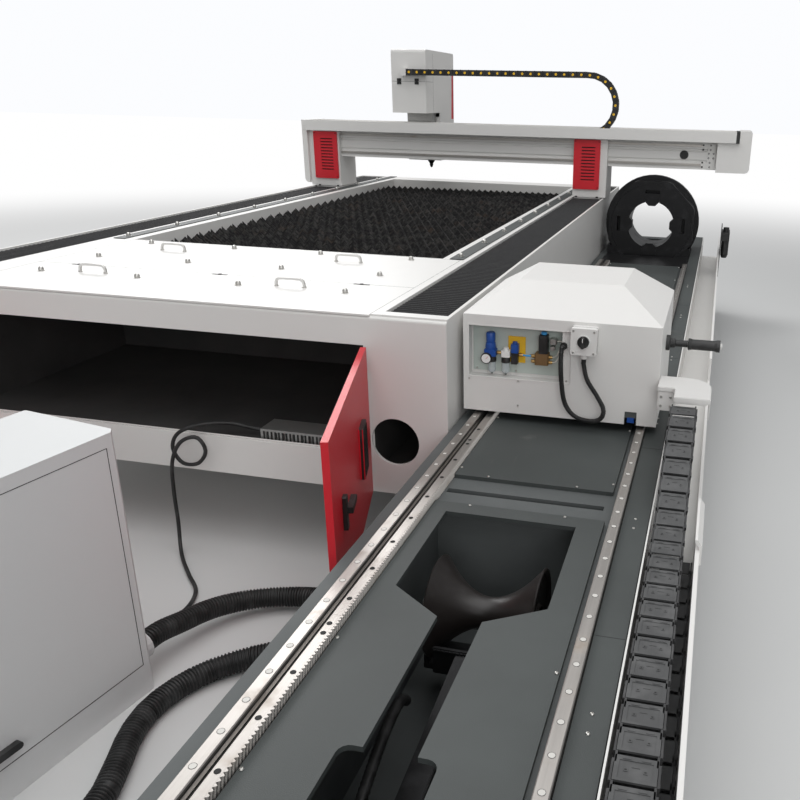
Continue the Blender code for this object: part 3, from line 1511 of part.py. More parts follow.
def cutting_head(looks, lift):
    """Cutting head: slide block, body, collimator and nozzle."""
    back = BEAM_REAR + 0.138 + GAP
    block = box(
        (HEAD_X - 0.060, HEAD_X + 0.060), (back, back + 0.040), (NOZZLE_TIP + 0.180, HEAD_TOP - 0.200)
    )
    item = part("cutting_head", block, looks["black_steel"], lift)
    body = rounded(rectangle((HEAD_X - 0.050, HEAD_X + 0.050), (back + 0.038, back + 0.160)), 0.012, 2)
    add(item, prism(body, "Z", NOZZLE_TIP + 0.120, NOZZLE_TIP + 0.480))
    nozzle = [
        (0.0, 0.0),
        (0.006, 0.0),
        (0.014, 0.018),
        (0.014, 0.030),
        (0.030, 0.055),
        (0.030, 0.095),
        (0.038, 0.100),
        (0.038, 0.125),
        (0.0, 0.125),
    ]
    return add(item, delete_loose(lathe(nozzle, "Z", (HEAD_X, NOZZLE_Y, NOZZLE_TIP), 20)))


# Doors of the front bay


def bay_door(name, hinge, side, looks):
    """Red bay door, modelled shut and turned about its hinge. Side is -1 for the right door."""
    low = LINTEL_BOTTOM - DOOR_HEIGHT
    x, y = hinge.place.x, hinge.place.y
    span = sorted((x + side * 0.009, x + side * DOOR_WIDTH))
    form = box(span, (y - DOOR_THICKNESS / 2, y + DOOR_THICKNESS / 2 - 0.001), (low, LINTEL_BOTTOM))
    item = part(name, form, looks["red"], hinge)
    pocket = sorted((x + side * 0.020, x + side * (DOOR_WIDTH - 0.020)))
    cut(item, box(pocket, (y - DOOR_THICKNESS / 2 + 0.003, y + 0.05), (low + 0.020, LINTEL_BOTTOM - 0.020)))
    panel = sorted((x + side * 0.205, x + side * 0.295))
    face = y - DOOR_THICKNESS / 2
    add(item, box(panel, (face - 0.014, face + 0.002), (0.500, 0.665)))
    webs = []
    barrels = knuckles(x, y, True)
    for barrel in barrels:
        bottom = min(corner.co.z for corner in barrel.verts)
        web = sorted((x, x + side * 0.011))
        webs.append(box(web, (y - 0.004, y + 0.004), (bottom, bottom + KNUCKLE_LENGTH)))
    add(item, merged(*webs))
    return add(item, merged(*barrels))


def tee_handle_form(x, face, z, height):
    """Swing handle before a face: an upright plate and a short lever."""
    plate = rounded(rectangle((x - 0.012, x + 0.012), (z - height / 2, z + height / 2)), 0.004, 2)
    lever = rounded(rectangle((x, x + 0.085), (z - 0.004, z + 0.014)), [0, 0.008, 0.008, 0], 3)
    return prism(plate, "Y", face - 0.012, face - GAP), prism(lever, "Y", face - 0.026, face - 0.010)


def door_handle(name, frame, height, looks):
    plate, lever = tee_handle_form(frame.place.x, frame.place.y, frame.place.z, height)
    item = part(name, plate, looks["black"], frame)
    return add(item, lever)


# Cabinet


def cabinet_point(across, along, height):
    """Machine coordinates of a point given from the cabinet's far right corner, before its turn."""
    local = Vector((across, along, height))
    local.rotate(Matrix.Rotation(CABINET_TURN, 3, "Z"))
    return Vector((CABINET_X, CABINET_Y, 0.0)) + local


def cabinet_body(looks, cabinet):
    """Control cabinet: folded shell with bevelled corners, open behind its door, cable glands."""
    outline = rounded(
        rectangle((CABINET_X - CABINET_DEPTH, CABINET_X), (CABINET_Y - CABINET_WIDTH, CABINET_Y)),
        [0.004, 0.018, 0.018, 0.004],
        1,
    )
    item = part("cabinet_body", prism(outline, "Z", 0.0, CABINET_HEIGHT), looks["cabinet"], cabinet)
    y_span = (CABINET_Y - CABINET_WIDTH + CABINET_BORDER, CABINET_Y - CABINET_BORDER)
    z_span = (CABINET_DOOR_BOTTOM, CABINET_HEIGHT - CABINET_BORDER)
    cut(item, box((CABINET_X - CABINET_DEPTH + 0.012, CABINET_X + 0.02), y_span, z_span))
    glands = []
    for across, side, height, radius in CABINET_GLANDS:
        edge = CABINET_Y if side > 0 else CABINET_Y - CABINET_WIDTH
        low, high = sorted((-0.020 * side, 0.030 * side))
        glands.append(delete_loose(rod("Y", (CABINET_X + across, edge, height), radius, low, high, 16)))
    return add(item, merged(*glands))


def cabinet_door(looks, hinge):
    x, y = hinge.place.x, hinge.place.y
    low = CABINET_DOOR_BOTTOM + DOOR_GAP
    high = CABINET_HEIGHT - CABINET_BORDER - DOOR_GAP
    near = CABINET_Y - CABINET_WIDTH + CABINET_BORDER + DOOR_GAP
    item = part("cabinet_door", box((x - 0.018, x), (near, y), (low, high)), looks["cabinet"], hinge)
    return cut(item, box((x - 0.05, x - 0.002), (near + 0.02, y - 0.02), (low + 0.02, high - 0.02)))


# Hoses and cables


def gland_end(index, standoff):
    """A point before one of the cabinet's glands."""
    across, side, height, _ = CABINET_GLANDS[index]
    along = 0.030 + standoff if side > 0 else -CABINET_WIDTH - 0.030 - standoff
    return cabinet_point(across, along, height)


def conduits(looks, base):
    """Two corrugated hoses from the cabinet to the tube bed's glands."""
    lie = CONDUIT_DIAMETER / 2 + 0.001
    entry = FRAME_LEFT - 0.030 - GAP
    first = [
        gland_end(0, GAP),
        gland_end(0, 0.060),
        (-0.752, 0.920, 0.085),
        (-0.712, 1.035, 0.068),
        (-0.632, 1.130, 0.052),
        (-0.515, 1.185, 0.046),
        (-0.390, 1.185, 0.060),
        (-0.270, 1.135, 0.105),
        (-0.180, 1.080, 0.158),
        (-0.130, 1.060, 0.180),
        (entry, 1.060, 0.180),
    ]
    second = [
        gland_end(2, GAP),
        gland_end(2, 0.060),
        (-1.080, -0.020, 0.062),
        (-0.990, -0.130, 0.040),
        (-0.860, -0.175, lie),
        (-0.720, -0.130, lie),
        (-0.620, -0.010, lie),
        (-0.566, 0.150, lie),
        (-0.556, 0.300, lie),
        (-0.592, 0.420, lie),
        (-0.632, 0.530, lie),
        (-0.640, 0.640, lie),
        (-0.600, 0.760, lie),
        (-0.520, 0.850, 0.038),
        (-0.410, 0.900, 0.056),
        (-0.290, 0.895, 0.100),
        (-0.190, 0.858, 0.160),
        (-0.130, 0.840, 0.190),
        (entry, 0.840, 0.190),
    ]
    curve_tube("conduit_1", smooth_route(first, 12), CONDUIT_DIAMETER, looks["hose"], base)
    curve_tube("conduit_2", smooth_route(second, 24), CONDUIT_DIAMETER, looks["hose"], base)


def sill_cable(looks, base):
    """Cable from the power supply over the sill, round one loose ring, to the floor and the cabinet."""
    lie = SILL_CABLE_DIAMETER / 2 + 0.004
    stops = [
        (-0.780 - GAP, BODY_FRONT + 0.060, BAY_FLOOR + 0.026),
        (-0.830, BODY_FRONT + 0.060, BAY_FLOOR + 0.026),
        (-0.920, 1.540, 0.486),
        (-1.000, 1.484, 0.492),
        (-1.075, 1.460, 0.462),
        (-1.100, 1.452, 0.405),
        (-1.065, 1.448, 0.352),
        (-1.000, 1.446, 0.358),
        (-0.962, 1.444, 0.412),
        (-0.990, 1.440, 0.462),
        (-1.050, 1.430, 0.440),
        (-1.092, 1.428, 0.360),
        (-1.104, 1.430, 0.240),
        (-1.100, 1.425, 0.120),
        (-1.086, 1.400, 0.030),
        (-1.040, 1.345, lie),
        (-0.960, 1.262, lie),
        (-0.880, 1.180, lie),
        (-0.850, 1.080, lie),
        (-0.862, 0.970, 0.020),
        gland_end(1, 0.060),
        gland_end(1, GAP),
    ]
    curve_tube("sill_cable", smooth_route(stops, 46), SILL_CABLE_DIAMETER, looks["hose"], base, 2)


def control_cord(looks, chuck):
    """Curly cord from the air panel's gland, down in a loop and up to the switch box."""
    stops = [
        (0.290, HOOD_FRONT - 0.014 - GAP, GLAND_HEIGHT),
        (0.290, HOOD_FRONT - 0.034, GLAND_HEIGHT),
        (0.290, HOOD_FRONT - 0.044, GLAND_HEIGHT - 0.040),
        (0.294, HOOD_FRONT - 0.042, GLAND_HEIGHT - 0.110),
        (0.306, HOOD_FRONT - 0.038, GLAND_HEIGHT - 0.180),
        (0.336, HOOD_FRONT - 0.036, GLAND_HEIGHT - 0.222),
        (0.382, HOOD_FRONT - 0.038, GLAND_HEIGHT - 0.236),
        (0.424, HOOD_FRONT - 0.042, GLAND_HEIGHT - 0.226),
        (0.436, HOOD_FRONT - 0.044, GLAND_HEIGHT - 0.190),
        (0.410, HOOD_FRONT - 0.040, GLAND_HEIGHT - 0.144),
        (0.376, HOOD_FRONT - 0.030, GLAND_HEIGHT - 0.098),
        (0.361, HOOD_FRONT - 0.022, GLAND_HEIGHT - 0.048),
        (0.361, HOOD_FRONT - 0.022, BOX_BOTTOM - 0.016 - GAP),
    ]
    curve_tube("control_cord", smooth_route(stops, 26), CURLY_CORD_DIAMETER, looks["black"], chuck, 2)


def make_looks():
    return {
        "white": look("white_paint", (0.80, 0.79, 0.77), 0.35),
        "cabinet": look("cabinet_paint", (0.74, 0.75, 0.75), 0.45),
        "red": look("red_paint", (0.78, 0.03, 0.05), 0.35),
        "frame": look("grey_frame_paint", (0.09, 0.10, 0.10), 0.5),
        "deck": look("grey_green_paint", (0.10, 0.12, 0.12), 0.45),
        "steel": look("ground_steel", (0.62, 0.60, 0.57), 0.3, 1.0),
        "metal": look("bare_metal", (0.50, 0.50, 0.48), 0.4, 1.0),
        "black_steel": look("black_steel", (0.02, 0.02, 0.02), 0.4, 0.6),
        "roller": look("roller_coating", (0.03, 0.028, 0.026), 0.35, 0.4),
        "slat": look("slat_steel", (0.06, 0.06, 0.06), 0.6, 0.7),
        "bellows": look("bellows_cloth", (0.012, 0.012, 0.012), 0.8),
        "chain": look("chain_plastic", (0.03, 0.03, 0.03), 0.5),
        "hose": look("black_hose", (0.015, 0.015, 0.015), 0.5),
        "black": look("black_plastic", (0.015, 0.015, 0.015), 0.4),
    }


def build():
    clear_scene()
    looks = make_looks()
    base = Frame("machine", (0.0, 0.0, 0.0))
    base.empty.location = (-CENTRE_X, -CENTRE_Y, 0.0)

    tube_bed_frame(looks, base)
    guide_rail("tube_rail_left", 0.0, looks, base)
    guide_rail("tube_rail_right", RAIL_SPACING, looks, base)
    tube_rack(looks, base)
    deck_front(looks, base)
    deck_rear(looks, base)
    cover_plate(looks, base)
    cable_trough(looks, base)
    tube_chain(looks, base)

    arm = Frame("arm_pivot", (ROLLER_X, ARM_PIVOT_Y, ARM_PIVOT_Z), base)
    lift_arm(looks, arm)
    roller(looks, Frame("roller_axle", (ROLLER_X, ROLLER_Y, ROLLER_Z), arm))

    chuck = Frame("rear_chuck", (CHUCK_X, HOOD_FRONT, CHUCK_Z), base)
    rear_carriage(looks, chuck)
    hood(looks, chuck)
    air_panel(looks, chuck)
    switch_box(looks, chuck)
    selector_knob(looks, Frame("selector_axis", (0.361, HOOD_FRONT - 0.044, KNOB_HEIGHT), chuck))
    chain_bracket(looks, chuck)
    push_handle(looks, Frame("handle_shaft", (0.680, HOOD_FRONT + 0.250, HANDLE_HEIGHT), chuck))
    rear_rotor(looks, Frame("rear_spin", (CHUCK_X, HOOD_REAR, CHUCK_Z), chuck))
    control_cord(looks, chuck)

    front_chuck_body(looks, base)
    front = Frame("front_spin", (CHUCK_X, FRONT_CHUCK_Y, CHUCK_Z), base)
    front_rotor(looks, front)
    for quarter, name in enumerate(("jaw_top", "jaw_right", "jaw_bottom", "jaw_left")):
        front_jaw(name, quarter, looks, Frame(f"{name}_slide", front.place, front))
    air_unit(looks, base)

    sheet_bed_body(looks, base)
    front_fascia(looks, base)
    lid("lid_front", BED_FRONT, LID_SEAM - 0.001, 1.790, looks, base)
    lid("lid_rear", LID_SEAM + 0.001, LID_REAR, 2.295, looks, base)
    slat_table(looks, base)
    strip("strip_right", TABLE_RIGHT + 0.065, looks, base)
    strip("strip_left", TABLE_LEFT - 0.080, looks, base)
    power_supply(looks, base)

    gantry = Frame("gantry", (HEAD_X, GANTRY_Y, BEAM_BOTTOM), base)
    beam(looks, gantry)
    cover_tray(looks, gantry)
    gantry_leg("leg_right", -0.060 - LEG_WIDTH, RIGHT_CHANNEL, looks, gantry)
    gantry_leg("leg_left", TRAY_LEFT, LEFT_CHANNEL, looks, gantry)
    vent("vent_right", -0.298, -0.110, looks, gantry)
    vent("vent_left", TRAY_LEFT + 0.040, TRAY_LEFT + 0.228, looks, gantry)
    end_box(looks, gantry)
    end_plate(looks, gantry)
    x_chain(looks, gantry)
    for side, channel in (("right", RIGHT_CHANNEL), ("left", LEFT_CHANNEL)):
        bellows(f"bellows_front_{side}", channel, BODY_FRONT + 0.046, GANTRY_Y + 0.010 - GAP, looks, base)
        bellows(f"bellows_rear_{side}", channel, LEG_REAR - 0.010 + GAP, BED_REAR - 0.007, looks, base)

    head = Frame("head", (HEAD_X, BEAM_REAR, HEAD_BOTTOM), gantry)
    x_carriage(looks, head)
    head_housing(looks, head)
    cutting_head(looks, Frame("head_lift", (HEAD_X, NOZZLE_Y, NOZZLE_TIP), head))

    right_hinge = Frame("bay_hinge_right", (BAY_RIGHT + 0.006, BED_FRONT - DOOR_STANDOFF, 0.0), base)
    right_hinge.empty.rotation_euler.z = DOOR_OPEN
    bay_door("bay_door_right", right_hinge, -1, looks)
    door_face = right_hinge.place.y - DOOR_THICKNESS / 2
    handle = Frame("bay_handle_pivot", (right_hinge.place.x - 0.650, door_face, 0.575), right_hinge)
    door_handle("bay_handle", handle, 0.100, looks)
    left_hinge = Frame("bay_hinge_left", (BAY_LEFT - 0.006, BED_FRONT - DOOR_STANDOFF, 0.0), base)
    left_hinge.empty.rotation_euler.z = -DOOR_OPEN
    bay_door("bay_door_left", left_hinge, 1, looks)

    cabinet = Frame("cabinet", (CABINET_X, CABINET_Y, 0.0), base)
    cabinet.empty.rotation_euler.z = CABINET_TURN
    cabinet_body(looks, cabinet)
    cabinet_hinge = Frame("cabinet_hinge", (CABINET_X, CABINET_Y - CABINET_BORDER - DOOR_GAP, 0.0), cabinet)
    cabinet_door(looks, cabinet_hinge)
    pivot = Frame("cabinet_handle_pivot", (CABINET_X, CABINET_Y - 0.500, 0.140), cabinet_hinge)
    pivot.empty.rotation_euler.z = math.pi / 2
    door_handle("cabinet_handle", pivot, 0.080, looks)

    conduits(looks, base)
    sill_cable(looks, base)


build()
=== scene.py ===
import json
import math

import bmesh
import bpy
from mathutils import Matrix, Vector


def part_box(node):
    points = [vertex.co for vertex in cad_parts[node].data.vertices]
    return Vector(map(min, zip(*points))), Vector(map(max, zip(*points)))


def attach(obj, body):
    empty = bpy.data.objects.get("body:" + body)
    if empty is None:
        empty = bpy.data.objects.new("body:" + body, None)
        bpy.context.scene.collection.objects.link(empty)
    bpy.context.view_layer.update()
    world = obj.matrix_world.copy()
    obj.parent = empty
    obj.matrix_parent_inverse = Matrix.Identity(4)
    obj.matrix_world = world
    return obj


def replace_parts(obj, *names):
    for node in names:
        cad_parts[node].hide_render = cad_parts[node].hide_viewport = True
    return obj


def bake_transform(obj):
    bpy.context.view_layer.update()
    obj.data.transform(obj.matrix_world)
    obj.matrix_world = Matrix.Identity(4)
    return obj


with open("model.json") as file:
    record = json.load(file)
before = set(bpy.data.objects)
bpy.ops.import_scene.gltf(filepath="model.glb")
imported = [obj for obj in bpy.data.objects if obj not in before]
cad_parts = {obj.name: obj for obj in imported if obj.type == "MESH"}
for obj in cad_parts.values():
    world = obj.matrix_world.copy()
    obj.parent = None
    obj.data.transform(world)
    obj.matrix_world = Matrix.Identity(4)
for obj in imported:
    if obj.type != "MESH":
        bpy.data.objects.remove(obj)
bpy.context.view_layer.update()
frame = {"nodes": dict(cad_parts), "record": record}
NODES = frame["nodes"]

# Sizes in metres, in the machine's own coordinates
SHIFT = Vector((0.727, -2.2, 0.0))
CAMERA_PLACE = (1.466, -3.143, 1.618)
CAMERA_YAW, CAMERA_PITCH, CAMERA_ROLL = 12.14, 20.13, 1.25
FOCAL_PIXELS = 826.6
PRINCIPAL_X = 533.0
IMAGE = 800.0
# Clearance of a cord's end from what it leads into
GAP = 0.0003
# Points closer than this are one, and edges sharper than this, in radians, are bevelled
MERGE, SHARP = 0.000001, 0.6


# Materials


def maths(operation, flipped=False):
    """A method that adds one maths node and gives its result."""

    def method(self, *others):
        node = self.tree.nodes.new("ShaderNodeMath")
        node.operation = operation
        for index, value in enumerate((*others, self) if flipped else (self, *others)):
            plug(self.tree, node.inputs[index], value)
        return Wire(self.tree, node.outputs[0])

    return method


class Wire:
    """A value in a material's tree that adds its maths nodes as it is used."""

    def __init__(self, tree, socket):
        self.tree = tree
        self.socket = socket

    __add__, __radd__ = maths("ADD"), maths("ADD", flipped=True)
    __sub__, __rsub__ = maths("SUBTRACT"), maths("SUBTRACT", flipped=True)
    __mul__, __rmul__ = maths("MULTIPLY"), maths("MULTIPLY", flipped=True)
    above, least, wave = maths("GREATER_THAN"), maths("MINIMUM"), maths("SINE")


def plug(tree, socket, value):
    """Link a wire or an output to a socket, or set a plain value on it."""
    if isinstance(value, Wire):
        value = value.socket
    if isinstance(value, bpy.types.NodeSocket):
        tree.links.new(value, socket)
    elif socket.type == "RGBA" and len(value) == 3:
        socket.default_value = (*value, 1.0)
    else:
        socket.default_value = value


class Finish:
    """One material, built from nodes that read the piece's own coordinates."""

    def __init__(self, name, colour, roughness, metallic=0.0, **steady):
        self.material = bpy.data.materials.new(name)
        self.material.use_nodes = True
        self.tree = self.material.node_tree
        self.shader = self.tree.nodes["Principled BSDF"]
        self.name = name
        self.give("Base Color", colour)
        self.give("Roughness", roughness)
        self.give("Metallic", metallic)
        for socket, value in steady.items():
            self.give(socket.replace("_", " "), value)
        self.material.diffuse_color = (*colour, 1.0)
        self.ground = None

    def give(self, socket, value):
        plug(self.tree, self.shader.inputs[socket], value)
        return self

    def node(self, kind, settings=(), values=()):
        node = self.tree.nodes.new(kind)
        for name, value in dict(settings).items():
            setattr(node, name, value)
        for name, value in dict(values).items():
            plug(self.tree, node.inputs[name], value)
        return node

    def place(self, stretch=(1.0, 1.0, 1.0)):
        if self.ground is None:
            self.ground = self.node("ShaderNodeTexCoord").outputs["Object"]
        values = {"Vector": self.ground, "Scale": stretch}
        return self.node("ShaderNodeMapping", values=values).outputs["Vector"]

    def along(self, axis):
        parts = self.node("ShaderNodeSeparateXYZ", values={"Vector": self.place()})
        return Wire(self.tree, parts.outputs[axis])

    def noise(self, scale, detail=3.0, stretch=(1.0, 1.0, 1.0), rough=0.55):
        values = {"Vector": self.place(stretch), "Scale": scale, "Detail": detail, "Roughness": rough}
        return Wire(self.tree, self.node("ShaderNodeTexNoise", values=values).outputs["Fac"])

    def ramp(self, value, low, high):
        """0 below low, 1 above high, smooth between them."""
        settings = {"interpolation_type": "SMOOTHSTEP"}
        values = {"Value": value, "From Min": low, "From Max": high}
        return Wire(self.tree, self.node("ShaderNodeMapRange", settings, values).outputs["Result"])

    def mix(self, factor, first, second):
        node = self.node("ShaderNodeMix", {"data_type": "RGBA"})
        plug(self.tree, node.inputs[0], factor)
        plug(self.tree, node.inputs[6], first)
        plug(self.tree, node.inputs[7], second)
        return node.outputs[2]

    def coat(self, tone, roughness, height, distance):
        """Colour, roughness and fine relief over the surface."""
        self.give("Base Color", tone)
        self.give("Roughness", roughness)
        values = {"Height": height, "Distance": distance, "Strength": 1.0}
        return self.give("Normal", self.node("ShaderNodeBump", values=values).outputs["Normal"])


def shade(colour, factor):
    """A darker or paler shade of a colour."""
    return tuple(min(1.0, part * factor) for part in colour)


def painted(name, colour, roughness, grain, dust=0.25, grain_size=900.0):
    """Sprayed paint: fine grain, soft unevenness, smears and settled dust."""
    look = Finish(name, colour, roughness)
    broad = look.noise(1.7, 4.0)
    smears = look.ramp(look.noise(9.0, 6.0, (1.0, 0.35, 1.0)), 0.52, 0.72)
    settled = look.ramp(look.noise(34.0, 8.0), 0.48, 0.75)
    film = (broad * 0.5 + smears * 0.3 + settled * 0.2) * dust
    dusty = tuple(0.62 * part + 0.13 for part in colour)
    return look.coat(
        look.mix(film, colour, dusty),
        roughness + film * 0.5 + look.noise(60.0, 2.0) * 0.06,
        look.noise(grain_size, 1.0), grain,
    )


def scuffed(name, colour, roughness, bare, wear=0.5, scale=6.0):
    """Paint with rubbed patches and scratches through to a second colour."""
    look = Finish(name, colour, roughness)
    patches = look.ramp(look.noise(scale, 9.0, rough=0.7), 0.6, 0.74)
    lines = look.ramp(look.noise(120.0, 3.0, (1.0, 0.04, 1.0)), 0.7, 0.78)
    dirt = look.noise(2.4, 6.0)
    worn = (patches * 0.7 + lines * 0.4).least(1.0) * wear
    tone = look.mix(look.ramp(dirt, 0.35, 0.7) * 0.55, colour, shade(colour, 1.7))
    return look.coat(
        look.mix(worn, tone, bare),
        roughness + dirt * 0.2 - worn * 0.1,
        look.noise(500.0, 2.0) + worn * -0.5, 0.0004,
    )


def machined(name, colour, roughness, stretch):
    """Ground or milled metal: fine lines along the cut, oil and faint rust bloom."""
    look = Finish(name, colour, roughness, 1.0)
    lines = look.noise(260.0, 4.0, stretch)
    bloom = look.ramp(look.noise(11.0, 8.0), 0.55, 0.8)
    tone = look.mix(lines * 0.55, shade(colour, 0.72), shade(colour, 1.15))
    return look.coat(
        look.mix(bloom * 0.45, tone, (0.26, 0.19, 0.13)),
        roughness + lines * 0.18 + bloom * 0.2,
        lines, 0.00025,
    )


def blackened(name, colour, roughness):
    """Oil-blackened steel with lighter handling marks."""
    look = Finish(name, colour, roughness, 0.5)
    marks = look.ramp(look.noise(14.0, 8.0, rough=0.65), 0.5, 0.78)
    return look.coat(
        look.mix(marks * 0.6, colour, shade(colour, 3.4)),
        roughness + marks * 0.22 - look.noise(3.0, 3.0) * 0.08,
        look.noise(420.0, 3.0), 0.0003,
    )


def moulded(name, colour, roughness, grain=0.0003, dust=0.35):
    """Moulded plastic: a matt grain under pale dust."""
    look = Finish(name, colour, roughness)
    film = look.ramp(look.noise(22.0, 8.0), 0.42, 0.8) * dust
    return look.coat(
        look.mix(film, colour, tuple(part * 0.6 + 0.1 for part in colour)),
        roughness + film * 0.4,
        look.noise(700.0, 2.0), grain,
    )


def scorched(name):
    """Slat steel: dark scale, grey dross and rust."""
    look = Finish(name, (0.045, 0.043, 0.042), 0.62, 0.5)
    scale = look.noise(28.0, 8.0, rough=0.7)
    rust = look.ramp(look.noise(7.0, 7.0), 0.55, 0.75)
    tone = look.mix(look.ramp(scale, 0.4, 0.7), (0.02, 0.02, 0.021), (0.105, 0.1, 0.095))
    return look.coat(
        look.mix(rust * 0.5, tone, (0.1, 0.06, 0.04)),
        0.5 + scale * 0.3,
        scale, 0.0012,
    )


def cloth(name):
    """Coated bellows cloth: crossed threads and dust."""
    look = Finish(name, (0.012, 0.012, 0.013), 0.82, Sheen_Weight=0.15)
    across = (look.along("X") * 4200.0).wave()
    length = (look.along("Y") * 4200.0).wave()
    film = look.ramp(look.noise(16.0, 8.0), 0.5, 0.85)
    return look.coat(
        look.mix(film * 0.5, (0.01, 0.01, 0.011), (0.06, 0.058, 0.055)),
        0.78 + film * 0.12,
        across * length, 0.0002,
    )


def clear(name, colour, amount):
    """Smoky plastic of a filter bowl."""
    look = Finish(name, colour, 0.18, IOR=1.45)
    look.give("Base Color", look.mix(look.noise(30.0, 3.0), colour, shade(colour, 1.4)))
    return look.give("Alpha", amount)


def by_name(*finishes):
    return {finish.name: finish for finish in finishes}


WHITE = (0.72, 0.71, 0.69)
LOOKS = by_name(
    painted("white_paint", WHITE, 0.36, 0.0002, 0.16),
    painted("cabinet_paint", (0.66, 0.67, 0.67), 0.55, 0.0006, 0.12, 700.0),
    painted("red_paint", (0.6, 0.01, 0.022), 0.34, 0.0002, 0.08),
    scuffed("frame_paint", (0.075, 0.082, 0.082), 0.55, (0.16, 0.15, 0.14), 0.5),
    scuffed("deck_paint", (0.04, 0.046, 0.045), 0.46, (0.17, 0.17, 0.16), 0.4, 4.0),
    machined("ground_steel", (0.56, 0.53, 0.5), 0.3, (1.0, 0.01, 1.0)),
    machined("bare_metal", (0.5, 0.5, 0.49), 0.42, (0.2, 1.0, 1.0)),
    blackened("black_steel", (0.014, 0.014, 0.015), 0.4),
    moulded("roller_coating", (0.016, 0.013, 0.012), 0.36, 0.0002, 0.12),
    scorched("slat_steel"),
    cloth("bellows_cloth"),
    moulded("chain_plastic", (0.03, 0.03, 0.031), 0.55, 0.0004, 0.6),
    moulded("hose_rubber", (0.012, 0.012, 0.012), 0.5, 0.0003, 0.4),
    moulded("black_plastic", (0.012, 0.012, 0.012), 0.42),
)
EXTRAS = by_name(
    machined("bright_screw", (0.66, 0.65, 0.62), 0.28, (1.0, 1.0, 1.0)),
    # Near-black for the seams, and painted shade in slots, grooves, holes and gaps
    moulded("dark_seam_and_shade", (0.006, 0.006, 0.006), 0.7, 0.0002, 0.2),
    machined("brass", (0.62, 0.4, 0.16), 0.34, (1.0, 1.0, 0.3)),
    moulded("blue_plastic", (0.01, 0.07, 0.32), 0.38, 0.0002, 0.12),
    moulded("yellow_plastic", (0.85, 0.5, 0.02), 0.45, 0.0002, 0.1),
    moulded("pale_face", (0.8, 0.8, 0.78), 0.4, 0.0001, 0.08),
    moulded("pale_cap", (0.6, 0.585, 0.55), 0.38, 0.0001, 0.2),
    clear("bowl", (0.55, 0.6, 0.62), 0.45),
    machined("bronze", (0.4, 0.26, 0.13), 0.42, (1.0, 1.0, 0.3)),
    moulded("light_blue", (0.05, 0.34, 0.72), 0.35, 0.0002, 0.1),
    moulded("pale_lead", (0.62, 0.6, 0.54), 0.4, 0.0001, 0.2),
    moulded("plate_green", (0.5, 0.56, 0.52), 0.3, 0.0001, 0.1),
    moulded("link_cover", (0.062, 0.063, 0.064), 0.5, 0.0004, 0.6),
)
PAINTS = {**LOOKS, **EXTRAS}
# Insides of the sheet bed, painted with shade: bay, cutting well and cable port, as spans of X, Y and Z
HOLLOWS = (
    ((-2.036, -0.358), (1.5035, 2.4365), (0.438, 0.9105)),
    ((-1.932, -0.438), (2.518, 5.9), (0.05, 0.808)),
    ((-0.3415, -0.095), (1.5035, 2.4015), (0.378, 0.8015)),
)


def bed_paint():
    """The bed's white paint, with painted shade inside the bay, the cutting well and the cable port."""
    look = Finish("bed_paint", WHITE, 0.36)
    inside = 0.0
    for spans in HOLLOWS:
        part = 1.0
        for axis, (low, high), shift in zip("XYZ", spans, SHIFT):
            place = look.along(axis)
            part = place.above(low + shift) * (1.0 - place.above(high + shift)) * part
        inside = part + inside
    film = look.noise(1.7, 4.0) * 0.08 + look.ramp(look.noise(34.0, 8.0), 0.48, 0.75) * 0.03
    clean = look.mix(film, WHITE, (0.57, 0.57, 0.55))
    # Painted shade: near-black inside the hollows, uneven by noise
    painted_shade = look.mix(look.noise(5.0, 6.0), (0.02, 0.02, 0.021), (0.06, 0.058, 0.055))
    return look.coat(
        look.mix(inside.least(1.0), clean, painted_shade),
        inside.least(1.0) * 0.3 + 0.36 + film,
        look.noise(900.0, 1.0), 0.0002,
    )


def paint_nodes():
    """Give every CAD node the finish of its slot."""
    for part in frame["record"]["subparts"]:
        item = NODES[part["node"]]
        item.data.materials.clear()
        item.data.materials.append(LOOKS[part["material_slot"]].material)
    NODES["sheet_bed_body"].data.materials[0] = bed_paint().material


# Mesh building


def at(x, y, z):
    """A point of the machine in the model's frame."""
    return Vector((x, y, z)) + SHIFT


def placed(name, data):
    """An object of the scene for a mesh, a lamp or the camera."""
    item = bpy.data.objects.new(name, data)
    bpy.context.scene.collection.objects.link(item)
    return item


def soften(mesh, degrees):
    """Smooth shading that stays sharp at edges above an angle."""
    if degrees:
        mesh.shade_smooth()
        mesh.set_sharp_from_angle(angle=math.radians(degrees))


def round_angles(steps):
    return [2 * math.pi * step / steps for step in range(steps)]


